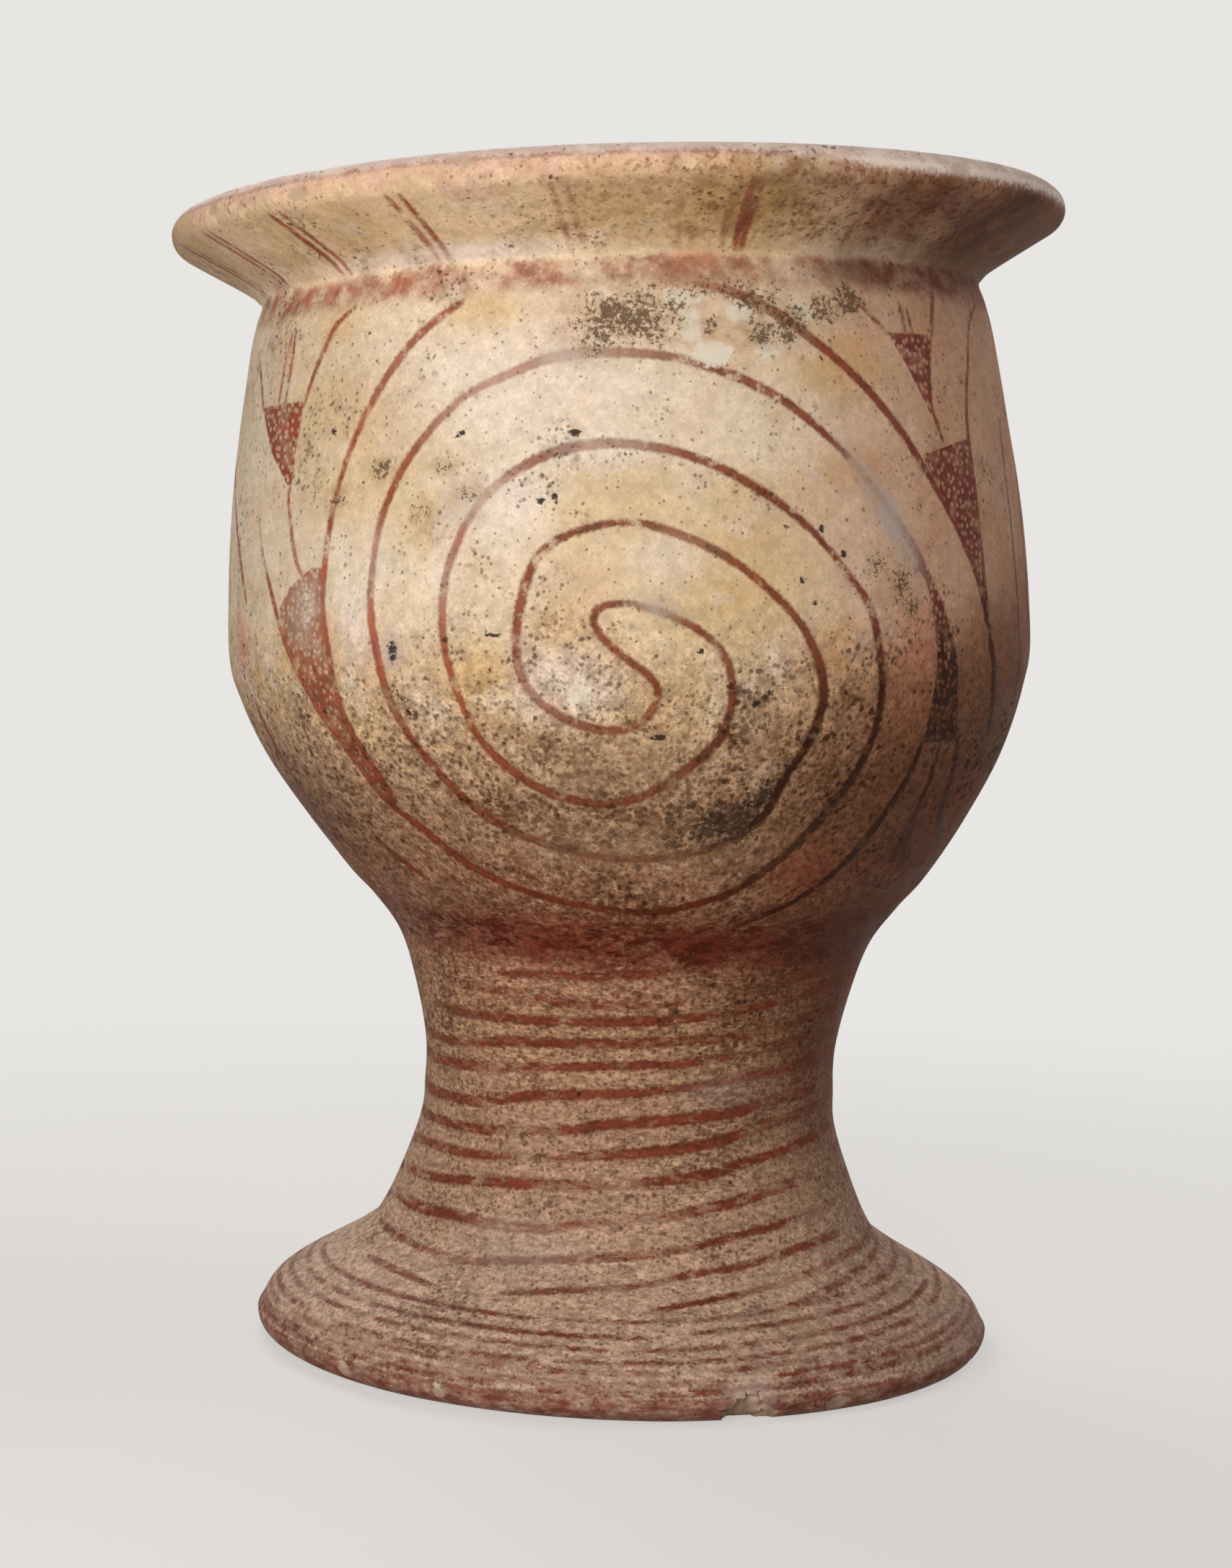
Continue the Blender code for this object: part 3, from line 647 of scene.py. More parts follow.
class Recipe:
    """A node tree written step by step. Each step gives the socket that a later one uses."""

    def __init__(self, tree):
        self.tree = tree

    def node(self, kind, joins=None, **settings):
        """A new node with its settings made and its sockets set or joined."""
        made = self.tree.nodes.new(kind)
        for name, value in settings.items():
            setattr(made, name, value)
        for key, value in (joins or {}).items():
            if isinstance(value, bpy.types.NodeSocket):
                self.tree.links.new(value, made.inputs[key])
            else:
                made.inputs[key].default_value = value
        return made

    def sum(self, operation, *values):
        """One step of arithmetic."""
        return self.node("ShaderNodeMath", dict(enumerate(values)), operation=operation).outputs[0]

    def plus(self, *values):
        """All the values added up."""
        return functools.reduce(lambda one, two: self.sum("ADD", one, two), values)

    def times(self, *values):
        """All the values multiplied."""
        return functools.reduce(lambda one, two: self.sum("MULTIPLY", one, two), values)

    def most(self, *values):
        """The largest of the values."""
        return functools.reduce(lambda one, two: self.sum("MAXIMUM", one, two), values)

    def less(self, one, two):
        """One value less another."""
        return self.sum("SUBTRACT", one, two)

    def point(self, across, along, up):
        """A place from its three parts."""
        return self.node("ShaderNodeCombineXYZ", {0: across, 1: along, 2: up}).outputs[0]

    def ramp(self, value, low, high, start=0.0, end=1.0):
        """A smooth change from start to end while the value goes from low to high."""
        joins = {0: value, 1: low, 2: high, 3: start, 4: end}
        return self.node("ShaderNodeMapRange", joins, interpolation_type="SMOOTHSTEP").outputs[0]

    def between(self, value, band):
        """1 inside a band of (begin, full, last full, end), falling to 0 past both its sides."""
        begin, full, last_full, end = band
        return self.times(self.ramp(value, begin, full), self.ramp(value, end, last_full))

    def noise(self, place, size, detail=3.0, rough=0.5, seed=0.0):
        """Cloudy variation whose lumps are about size millimetres across."""
        joins = {"Vector": place, "W": seed, "Scale": 1 / (size * MM), "Detail": detail,
                 "Roughness": rough}
        return self.node("ShaderNodeTexNoise", joins, noise_dimensions="4D").outputs[0]

    def specks(self, place, spacing, crowd, ragged):
        """Roundish specks, spacing millimetres apart, more and larger ones where crowd is higher."""
        cells = self.node("ShaderNodeTexVoronoi", {"Vector": place, "Scale": 1 / (spacing * MM)})
        chance = self.node("ShaderNodeSeparateColor", {0: cells.outputs["Color"]}).outputs[0]
        reach = self.plus(self.times(self.plus(chance, crowd), 0.6), -0.3)
        away = self.plus(cells.outputs["Distance"], self.times(ragged, 1.1))
        return self.ramp(self.less(reach, away), -0.16, 0.12)

    def mix(self, share, under, over):
        """One colour laid over another."""
        joins = {0: share, 6: under, 7: over}
        return self.node("ShaderNodeMix", joins, data_type="RGBA").outputs[2]

    def layers(self, under, *coats):
        """Coats of (share, colour) laid over a colour, one after the other."""
        for share, colour in coats:
            under = self.mix(share, under, colour)
        return under

    def steps(self, share, stops, span):
        """A colour that changes with a share of a span, through stops given in the span's unit."""
        made = self.node("ShaderNodeValToRGB", {0: share})
        spots = made.color_ramp.elements
        while len(spots) < len(stops):
            spots.new(1.0)
        for spot, (mark, colour) in zip(spots, stops):
            spot.position = mark / span
            spot.color = colour
        return made.outputs[0]

    def tint(self, colour, shade):
        """A colour made lighter or darker by a number."""
        joins = {0: 1.0, 6: colour, 7: self.point(shade, shade, shade)}
        made = self.node("ShaderNodeMix", joins, data_type="RGBA", blend_type="MULTIPLY")
        return made.outputs[2]

    def measure(self, name, out="Fac"):
        """A measure that the wall carries at every point."""
        return self.node("ShaderNodeAttribute", attribute_name=name).outputs[out]


def turned_wall_tree():
    """Turns a section into a clay wall, a little uneven and leaning, and measures the brushwork."""
    tree = bpy.data.node_groups.new("turned_clay_wall", "GeometryNodeTree")
    amounts = ("Unevenness", "Lump Size", "Bowl Lean", "Lean Pivot", "Lean Start", "Lean Full",
               "Foot Axis")
    inputs = [("Section", "Geometry"), ("Steps Round", "Int"), *((name, "Float") for name in amounts),
              ("Brush Work", "Object"), ("Clay Finish", "Material")]
    for name, kind in inputs:
        tree.interface.new_socket(name, in_out="INPUT", socket_type="NodeSocket" + kind)
    tree.interface.new_socket("Wall", in_out="OUTPUT", socket_type="NodeSocketGeometry")
    recipe = Recipe(tree)
    plus, times, less, point = recipe.plus, recipe.times, recipe.less, recipe.point
    given = recipe.node("NodeGroupInput").outputs
    section = given["Section"]
    size = recipe.node("GeometryNodeAttributeDomainSize", {"Geometry": section})
    rows = size.outputs["Point Count"]
    columns = plus(given["Steps Round"], 1)
    grid = recipe.node("GeometryNodeMeshGrid", {"Vertices X": columns, "Vertices Y": rows})
    wall = grid.outputs["Mesh"]

    def sampled(geometry, value, index, kind="FLOAT"):
        joins = {"Geometry": geometry, "Value": value, "Index": index}
        made = recipe.node("GeometryNodeSampleIndex", joins, data_type=kind, domain="POINT")
        return made.outputs[0]

    def named(name):
        return recipe.node("GeometryNodeInputNamedAttribute", {"Name": name}).outputs["Attribute"]

    # Each grid point takes its radius and height from the section and its turn from its column
    index = recipe.node("GeometryNodeInputIndex").outputs[0]
    row = recipe.sum("MODULO", index, rows)
    column = recipe.sum("FLOOR", recipe.sum("DIVIDE", index, rows))
    spot = recipe.node("GeometryNodeInputPosition").outputs[0]
    spot = sampled(section, spot, row, "FLOAT_VECTOR")
    outside = sampled(section, named("outside"), row)
    edge = sampled(section, named("edge"), row)
    radius, _, height = recipe.node("ShaderNodeSeparateXYZ", {0: spot}).outputs
    share = less(recipe.sum("DIVIDE", column, given["Steps Round"]), 0.5)
    turn = times(share, 2 * math.pi)
    side, front = recipe.sum("SINE", turn), recipe.sum("COSINE", turn)

    def at_radius(reach):
        return point(times(reach, side), times(reach, front, -1.0), height)

    upright = at_radius(radius)

    # Hand-built walls swell and sink a little; the middle of the floor stays
    scale = recipe.sum("DIVIDE", 1.0, given["Lump Size"])
    lumps = recipe.node("ShaderNodeTexNoise", {"Vector": upright, "Scale": scale, "Detail": 2.0})
    swell = times(less(lumps.outputs[0], 0.5), 2.0, given["Unevenness"])
    swell = times(swell, recipe.ramp(radius, 0.0, STILL_MIDDLE))
    uneven = at_radius(plus(radius, swell))

    # The half width of the nearest brush stroke, less the distance to it, is the ink measure
    joins = {"Object": given["Brush Work"]}
    lines = recipe.node("GeometryNodeObjectInfo", joins).outputs["Geometry"]
    joins = {"Geometry": lines, "Sample Position": upright}
    near = recipe.node("GeometryNodeProximity", joins, target_element="EDGES")
    nearest = recipe.node("GeometryNodeSampleNearest", joins, domain="POINT").outputs[0]
    away = times(near.outputs["Distance"], 1 / MM)
    ink = less(sampled(lines, named("brush"), nearest), away)
    load = sampled(lines, named("load"), nearest)
    wrap = point(times(turn, radius, 1 / MM), times(height, 1 / MM), outside)
    measures = [("wrap", wrap), ("around", times(share, 360.0)), ("ink", ink), ("load", load),
                ("edge", edge)]
    for name, value in measures:
        joins = {"Geometry": wall, "Name": name, "Value": value}
        kind = "FLOAT_VECTOR" if name == "wrap" else "FLOAT"
        store = recipe.node("GeometryNodeStoreNamedAttribute", joins, data_type=kind)
        wall = store.outputs[0]

    # The bowl tips over the stem, and the whole stands on the foot's axis
    lean = recipe.ramp(height, given["Lean Start"], given["Lean Full"])
    lean = times(lean, given["Bowl Lean"])
    joins = {"Vector": uneven, "Center": point(0.0, 0.0, given["Lean Pivot"]), "Angle": lean}
    tipped = recipe.node("ShaderNodeVectorRotate", joins, rotation_type="Y_AXIS").outputs[0]
    joins = {0: tipped, 1: point(given["Foot Axis"], 0.0, 0.0)}
    place = recipe.node("ShaderNodeVectorMath", joins, operation="ADD").outputs[0]
    last_steps = [
        ("SetPosition", {"Position": place}), ("MergeByDistance", {"Distance": 0.001 * MM}),
        ("SetShadeSmooth", {}), ("RealizeInstances", {}),
        ("SetMaterial", {"Material": given["Clay Finish"]}),
    ]
    for kind, joins in last_steps:
        wall = recipe.node("GeometryNode" + kind, {"Geometry": wall, **joins}).outputs[0]
    recipe.node("NodeGroupOutput", {"Wall": wall})
    return tree


def set_inputs(modifier, values):
    """Gives a geometry tree's modifier its inputs by their sockets' identifiers."""
    for item in modifier.node_group.interface.items_tree:
        if item.in_out == "INPUT" and item.name in values:
            modifier[item.identifier] = values[item.name]


def turned_wall(name, section, finish, tree, lines):
    """One clay member: its section turned by the tree and made a plain mesh."""
    points, outside, edge = section
    mesh = bpy.data.meshes.new(name + "_section")
    ring = [(radius, 0.0, height) for radius, height in points]
    shares = [("outside", outside), ("edge", edge)]
    if points[0][RADIUS] > 0:
        ring.append(ring[0])
        shares = [(label, np.append(values, values[0])) for label, values in shares]
    mesh.from_pydata(ring, [(k, k + 1) for k in range(len(ring) - 1)], [])
    for label, values in shares:
        write_measure(mesh, label, values)
    piece = put_in_scene(name, mesh)
    modifier = piece.modifiers.new("turned_clay_wall", "NODES")
    modifier.node_group = tree
    set_inputs(modifier, {
        "Steps Round": ROUND_STEPS, "Unevenness": UNEVENNESS, "Lump Size": LUMP_SIZE,
        "Bowl Lean": BOWL_LEAN, "Lean Pivot": LEAN_PIVOT, "Lean Start": LEAN_START,
        "Lean Full": LEAN_FULL, "Foot Axis": FOOT_AXIS, "Brush Work": lines, "Clay Finish": finish,
    })
    graph = bpy.context.evaluated_depsgraph_get()
    fine = bpy.data.meshes.new_from_object(piece.evaluated_get(graph))
    piece.modifiers.clear()
    piece.data = fine
    fine.name = name
    bpy.data.meshes.remove(mesh)
    return piece


def read_measure(mesh, name, width=1):
    """One of a wall's measures as an array."""
    layer = mesh.attributes[name]
    values = np.zeros(len(mesh.vertices) * width, np.float32)
    layer.data.foreach_get("value" if width == 1 else "vector", values)
    return values if width == 1 else values.reshape(-1, width)


def write_measure(mesh, name, values):
    """A new measure on a wall."""
    layer = mesh.attributes.new(name, "FLOAT", "POINT")
    layer.data.foreach_set("value", values.astype(np.float32))


def turn_apart(around, degrees):
    """Signed turn from a place to every point, the short way round, in degrees."""
    return (around - degrees + 180) % 360 - 180


NET_REACH = 5.0


def net_measure(around, height, radius):
    """How deep every point lies in a netted wedge, in millimetres, and that wedge's strength."""
    depth = np.full(len(around), -NET_REACH)
    strength = np.ones(len(around))
    for paint, rows in wedges():
        rows = np.array(sorted(rows))
        left = np.interp(height, rows[:, 0], rows[:, 1])
        right = np.interp(height, rows[:, 0], rows[:, 2])
        per_degree = math.pi / 180 * radius
        from_left = turn_apart(around, left) * per_degree
        from_right = -turn_apart(around, right) * per_degree
        inside = np.minimum(from_left, from_right)
        inside = np.minimum(inside, np.minimum(height - rows[0, 0], rows[-1, 0] - height))
        strength = np.where(inside > depth, paint, strength)
        depth = np.maximum(depth, inside)
    return np.clip(depth, -NET_REACH, NET_REACH), strength


def all_stains():
    """The listed stains, and more of each kind scattered over the back."""
    chance = random.Random(STAIN_SEED)
    found = {}
    for kind, spots in STAINS.items():
        found[kind] = list(spots)
        for _ in range(BACK_STAINS):
            _, _, wide, tall, strength, *_ = chance.choice(spots)
            height = chance.uniform(*BACK_STAIN_HEIGHTS)
            tilt = chance.uniform(-BACK_STAIN_TILT, BACK_STAIN_TILT)
            around = chance.uniform(*BACK_STAIN_TURNS)
            found[kind].append((around, height, wide, tall, BACK_FAINT * strength, tilt))
    return found


def stain_measure(spots, around, height, radius):
    """Strength of one kind of stain at every point."""
    strength = np.zeros(len(around))
    for degrees, middle, wide, tall, much, *tilt in spots:
        across = turn_apart(around, degrees) * math.pi / 180 * radius
        up = height - middle
        lean = math.radians(tilt[0] if tilt else 0)
        along = (across * math.cos(lean) + up * math.sin(lean)) / wide
        over = (up * math.cos(lean) - across * math.sin(lean)) / tall
        fall = STAIN_FALL * (along**2 + over**2) ** STAIN_SHARPNESS
        strength = np.maximum(strength, much * np.exp(-fall))
    return strength


RIM_DROOP = 1.1 * MM
DROOP_FROM, DROOP_TO = 225.0, 272.0
BARE_DEPTH = 0.8


def shape_by_hand(mesh, around, height, outside):
    """Knocks out the chips and lets the rim droop a little on one side, as the real one does."""
    count = len(mesh.vertices)
    spots = np.zeros(count * 3, np.float32)
    mesh.vertices.foreach_get("co", spots)
    spots = spots.reshape(-1, 3).astype(float)
    turn = np.radians(around)
    outward = np.column_stack([np.sin(turn), -np.cos(turn), np.zeros(count)])
    reach = np.linalg.norm(spots[:, :2] - np.array([FOOT_AXIS, 0.0]), axis=1) / MM
    chip = np.zeros(count)
    for degrees, middle, wide, tall, depth in CHIPS:
        across = turn_apart(around, degrees) * math.pi / 180 * reach / wide
        up = (height - middle) / tall
        ragged = 1 + 0.25 * np.sin(across * 9 + up * 5) + 0.15 * np.sin(up * 13 - across * 4)
        bite = np.clip(1.15 - (across**2 + up**2) * ragged, 0, 1) ** 0.6
        spots -= outward * (bite * depth * MM * outside)[:, None]
        chip = np.maximum(chip, np.clip(bite * depth / BARE_DEPTH, 0, 1))
    part = np.clip((height - DROOP_FROM) / (DROOP_TO - DROOP_FROM), 0, 1)
    droop = part * part * (3 - 2 * part) * np.maximum(0, -np.sin(turn)) ** 2
    spots[:, 2] -= RIM_DROOP * droop
    mesh.vertices.foreach_set("co", spots.astype(np.float32).ravel())
    write_measure(mesh, "chip", chip)


SHARP_ANGLE = math.radians(42)


def finish_wall(piece, stains):
    """Gives a turned wall its wedges, stains and knocks, and closes its surface."""
    mesh = piece.data
    around = read_measure(mesh, "around").astype(float)
    wrap = read_measure(mesh, "wrap", 3).astype(float)
    height, outside = wrap[:, 1], wrap[:, 2]
    radius = wall_radius(height * MM) / MM
    depth, strength = net_measure(around, height, radius)
    write_measure(mesh, "net", depth)
    write_measure(mesh, "net_load", strength)
    for kind, spots in stains.items():
        write_measure(mesh, kind, stain_measure(spots, around, height, radius) * outside)
    shape_by_hand(mesh, around, height, outside)
    shape = bmesh.new()
    shape.from_mesh(mesh)
    bmesh.ops.recalc_face_normals(shape, faces=shape.faces[:])
    shape.to_mesh(mesh)
    shape.free()
    mesh.set_sharp_from_angle(angle=SHARP_ANGLE)


def shade(red, green, blue):
    """A colour given as it looks on a screen, 0 to 255, for the shader's sockets."""
    parts = []
    for value in (red, green, blue):
        part = value / 255
        parts.append(part / 12.92 if part <= 0.04045 else ((part + 0.055) / 1.055) ** 2.4)
    return (*parts, 1.0)


CREAM = shade(233, 210, 180)
OCHRE = shade(210, 168, 104)
ROSE_CREAM = shade(224, 184, 158)
# Pale bloom, partly painted highlight
BLOOM_AND_HIGHLIGHT = shade(240, 221, 205)
OLIVE = shade(194, 170, 132)
ROSE_BUFF = shade(194, 122, 88)
# Brown of the painted shade on the viewer's right side
SIDE_SHADE_BROWN = shade(114, 63, 41)
SMUDGE = shade(116, 72, 48)
FLECK = shade(80, 43, 22)
SPECK = shade(126, 86, 52)
# Rim stain, partly painted shade on the viewer's right
RIM_STAIN_AND_SHADE = shade(154, 92, 50)
PALE_GRAIN = shade(206, 178, 148)
PIT = shade(50, 27, 14)
CHAR = shade(44, 35, 31)
CRUST = shade(92, 66, 44)
TAN = shade(184, 150, 116)
LIME = shade(236, 226, 206)
ASH = shade(176, 162, 156)
# Soot, partly painted shade
SOOT_AND_SHADE = shade(72, 30, 15)
SCORCH = shade(40, 26, 23)
BLUSH = shade(196, 92, 62)
PAINT_RED = shade(160, 74, 50)
PAINT_BROWN = shade(128, 64, 40)
PAINT_WINE = shade(126, 54, 44)
PAINT_DARK = shade(46, 15, 5)
PAINT_UMBER = shade(118, 74, 54)
STRIPE_RUST = shade(116, 50, 29)
JOINT_RED = shade(78, 24, 12)
JOINT_WASH = shade(122, 42, 30)
FOOT_RED = shade(128, 48, 34)
LIP_PALE = shade(252, 232, 216)
BAND_RED = shade(172, 92, 70)
BARE = shade(196, 166, 140)
INNER_BUFF = shade(184, 152, 120)
INNER_DARK = shade(126, 98, 76)

# Slip from foot to rim, as (height in mm, colour)
SLIP_LEVELS = [
    (4, shade(196, 162, 140)), (22, shade(202, 168, 142)), (38, shade(187, 150, 123)),
    (64, shade(182, 143, 114)), (82, shade(186, 144, 110)), (94, shade(178, 130, 102)),
    (112, shade(162, 114, 86)), (134, shade(176, 138, 106)), (156, shade(214, 178, 140)),
    (182, CREAM), (255, CREAM), (262, shade(243, 211, 172)), (269, shade(244, 211, 173)),
    (273, shade(240, 196, 168)),
]
SLIP_SPAN = 280.0
SLIP_WANDER = 26.0
WIPED_BELOW, WIPED_STREAK = 0.110, 1.4
NET_PITCH = 2.0
MATT_SHEEN = 0.1

# Painted bands, as the heights in mm where they begin, are full, are last full and end
NECK_BAND = (247.0, 251.6, 255.0, 257.0)
JOINT_BAND = (96.0, 101.0, 106.0, 113.0)
JOINT_WASH_BAND = (95.0, 101.0, 105.0, 112.0)
LIP_RUB_START, LIP_RUB_FULL = 274.0, 276.2


def clay_material(name):
    """A new material and the recipe that its clay is written with."""
    material = bpy.data.materials.new(name)
    material.use_nodes = True
    return material, Recipe(material.node_tree)


def set_surface(recipe, colour, gloss, relief, strength, depth):
    """Joins a clay's colour, gloss and relief to its surface."""
    surface = recipe.tree.nodes["Principled BSDF"]
    joins = {"Strength": strength, "Distance": depth, "Height": relief}
    bump = recipe.node("ShaderNodeBump", joins).outputs[0]
    for key, value in (("Base Color", colour), ("Roughness", gloss), ("Normal", bump)):
        recipe.tree.links.new(value, surface.inputs[key])
    return surface


def painted_slip(name):
    """The fired surface: slip, its stains and speckle, the brush painting, what has worn, and some
    painted shade and highlight.
    """
    material, recipe = clay_material(name)
    plus, times, less, most = recipe.plus, recipe.times, recipe.less, recipe.most
    ramp, mix, layers, between = recipe.ramp, recipe.mix, recipe.layers, recipe.between
    noise, specks, measure = recipe.noise, recipe.specks, recipe.measure
    place = recipe.node("ShaderNodeTexCoord").outputs["Object"]
    across, along, up = recipe.node("ShaderNodeSeparateXYZ", {0: place}).outputs
    wrap = measure("wrap", "Vector")
    _, height, outside = recipe.node("ShaderNodeSeparateXYZ", {0: wrap}).outputs

    # The pedestal was wiped while it turned, so its slip and paint streak sideways there
    below = most(0.0, less(WIPED_BELOW, up))
    streaky = recipe.point(across, along, less(up, times(below, WIPED_STREAK)))
    drift = noise(place, 34, 3, 0.5, 1)
    cloud = noise(place, 9, 4, 0.55, 2)
    grain = noise(streaky, 2.6, 5, 0.62, 3)
    grit = noise(place, 0.8, 3, 0.6, 12)
    smear = noise(streaky, 4.2, 5, 0.66, 5)
    smut = noise(streaky, 1.5, 4, 0.64, 31)
    worn = noise(streaky, 4.6, 4, 0.66, 7)
    ragged = less(noise(place, 1.1, 3, 0.65, 6), 0.5)
    cloudy = less(cloud, 0.5)
    patchy = ramp(cloud, 0.3, 0.6, 0.5, 1.0)

    # Slip: cream above, browner below, clouded with ochre, rose, olive and bloom that is partly painted
    # highlight, rose-buff towards the viewer's right, and painted shade darkening that side
    wander = times(cloudy, SLIP_WANDER)
    level = plus(height, wander)
    slip = recipe.steps(recipe.sum("DIVIDE", level, SLIP_SPAN), SLIP_LEVELS, SLIP_SPAN)
    upper = ramp(level, 142, 168)
    rosy = ramp(noise(place, 26, 3, 0.5, 41), 0.48, 0.64)
    ochre = most(times(ramp(drift, 0.46, 0.64), 0.4), times(measure("ochre"), patchy))
    olive = ramp(noise(place, 13, 4, 0.6, 15), 0.46, 0.68)
    bloom_and_highlight = most(times(ramp(cloud, 0.52, 0.7), upper, 0.4), times(measure("bloom_and_highlight"), patchy))
    aside = plus(across, times(less(drift, 0.5), 0.06))
    # Painted shade: the slip darkens to brown towards the viewer's right, reaching less far round
    # higher up and faint low on the pedestal
    shade_reach = less(aside, ramp(height, 125, 240, 0.0, 0.11))
    painted_side_shade = times(ramp(shade_reach, 0.012, 0.062), ramp(height, 38, 72, 0.15, 0.8))
    slip = layers(
        slip, (times(rosy, upper, 0.4), ROSE_CREAM), (times(ochre, upper), OCHRE),
        (times(olive, upper, 0.35), OLIVE), (bloom_and_highlight, BLOOM_AND_HIGHLIGHT),
        (times(ramp(aside, 0.02, 0.085), upper, 0.6), ROSE_BUFF), (painted_side_shade, SIDE_SHADE_BROWN),
    )
    fine = times(ramp(grain, 0.34, 0.66, 0.66, 1.28), ramp(grit, 0.32, 0.68, 0.72, 1.22))
    mottle = plus(times(less(fine, 1.0), ramp(height, 190, 145, 0.3, 1.0)), 1.0)
    slip = recipe.tint(slip, mottle)

    # Brown grime lies thicker low on the bowl, on the pedestal and under the rim, where it grows
    # towards the viewer's right, partly as painted shade
    low = times(ramp(height, 186, 140), ramp(height, 10, 95, 0.35, 1.0))
    rim = times(ramp(height, 256, 262), ramp(aside, -0.06, 0.05, 0.15, 1.0))
    cluster = ramp(noise(place, 19, 3, 0.6, 4), 0.48, 0.67)
    grime = plus(times(cluster, 0.4), times(low, 0.7))
    gritted = times(low, ramp(height, 45, 75, 0.6, 1.0), less(0.68, times(painted_side_shade, 0.75)))
    wash = between(plus(height, times(less(smear, 0.5), 9.0)), JOINT_WASH_BAND)
    wash = times(wash, ramp(aside, -0.04, -0.01), ramp(aside, 0.052, 0.034, 0.3, 1.0))
    slip = layers(
        slip, (times(ramp(smear, 0.42, 0.6), rim, 0.55), RIM_STAIN_AND_SHADE),
        (times(ramp(smut, 0.52, 0.62), rim, 0.7), SMUDGE),
        (times(ramp(smear, 0.44, 0.66), grime, 0.75), SMUDGE),
        (times(ramp(smut, 0.48, 0.64), grime, 0.8), FLECK),
        (times(ramp(smut, 0.46, 0.32), gritted), PALE_GRAIN),
        (times(wash, ramp(cloud, 0.34, 0.6, 0.3, 0.8)), JOINT_WASH),
        (times(measure("blush"), 0.55), BLUSH),
    )

    # Brush painting: lines, bands and netted wedges, with soft frayed edges and worn places
    frayed = times(ragged, ramp(height, 165, 110, 1.4, 2.6))
    ink = plus(measure("ink"), frayed, ramp(height, 160, 120, 0.0, 0.2))
    dry = times(less(grain, 0.5), ramp(height, 165, 110, 1.4, 2.8))
    wear = ramp(worn, 0.44, 0.74, 0.0, 1.0)
    load = plus(less(measure("load"), wear), times(less(grit, 0.5), 0.9), dry)
    stroke = times(ramp(ink, -0.6, 0.45), ramp(load, -0.1, 0.95))
    fuzzy = plus(height, times(ragged, 3.6), times(wander, 0.12))
    # On the viewer's right the neck band stays whole and dark, a painted shadow under the flange, and
    # the pale rubbed lip reaches lower, partly painted light
    right_side = ramp(aside, 0.03, 0.065)
    kept = most(ramp(cloud, 0.66, 0.42, 0.35, 0.9), times(right_side, 0.95))
    neck = times(between(fuzzy, NECK_BAND), kept)
    joint = times(between(fuzzy, JOINT_BAND), ramp(smear, 0.4, 0.6, 1.4, 0.2))
    rubbed = plus(height, times(ragged, 4.0), times(right_side, 2.5))
    rubbed = ramp(rubbed, LIP_RUB_START, LIP_RUB_FULL)
    edge = ramp(plus(measure("edge"), times(ragged, 1.2)), 0.4, 0.75)
    edge = times(edge, less(0.9, times(rubbed, 0.5)))
    band = times(most(neck, joint, edge), ramp(worn, 0.68, 0.38, 0.25, 0.98))
    joins = {"Vector": wrap, "Scale": 1 / NET_PITCH, "Randomness": 0.8}
    dots = recipe.node("ShaderNodeTexVoronoi", joins, voronoi_dimensions="2D").outputs["Distance"]
    dots = times(ramp(plus(dots, times(ragged, 0.35)), 0.4, 0.14), 0.6)
    wedge = ramp(plus(measure("net"), ragged), -0.3, 0.4)
    wedge = times(wedge, measure("net_load"), ramp(worn, 0.72, 0.45, 0.5, 1.0))
    faded = plus(times(measure("bloom_and_highlight"), 0.45), times(measure("ash"), 0.6))
    paint = most(stroke, band, times(wedge, less(1.0, dots)))
    paint = times(paint, outside, less(1.0, faded), 0.97)
    # Painted shade: paint above the stem turns near black towards the viewer's right
    right_paint_shade = times(ramp(shade_reach, 0.0, 0.04), ramp(height, 92, 116))
    umber = ramp(noise(place, 11, 3, 0.6, 21), 0.46, 0.66)
    # Paint colour: browner on the left; wine-red on the viewer's right, partly the paint's own hue and
    # partly painted shade; near the rim the lighter band red is left off on the right, a painted shadow
    # under the flange
    colour = layers(
        PAINT_RED, (ramp(aside, -0.06, -0.005), PAINT_BROWN), (times(umber, 0.5), PAINT_UMBER),
        (ramp(aside, 0.03, 0.07), PAINT_WINE), (ramp(height, 172, 122), STRIPE_RUST),
        (most(right_paint_shade, measure("scorch")), PAINT_DARK), (times(joint, 0.85), JOINT_RED),
        (ramp(height, 8, 5, 0.0, 0.9), FOOT_RED),
        (times(ramp(height, 246, 250), less(0.5, times(right_side, 0.5))), BAND_RED),
    )
    pooled = ramp(measure("ink"), 0.7, 0.1, 1.08, 0.84)
    colour = recipe.tint(colour, times(pooled, ramp(smear, 0.3, 0.7, 1.34, 0.68)))
    skin = layers(slip, (times(rubbed, 0.9), LIP_PALE), (paint, colour))

    # Specks and pits, over slip and paint alike, crowded where the grime is
    crowd = plus(times(low, 0.48), times(cluster, 0.36), times(cloudy, 0.8), -0.12)
    blots = specks(place, 3.2, plus(crowd, ramp(height, 95, 150, -0.5, -0.14)), ragged)
    flecks = specks(place, 1.25, crowd, ragged)
    pits = specks(place, 2.0, plus(crowd, ramp(height, 95, 150, -0.6, -0.24)), ragged)
    skin = layers(
        skin, (times(blots, 0.4), SPECK), (times(flecks, 0.6), FLECK), (times(pits, 0.7), PIT)
    )

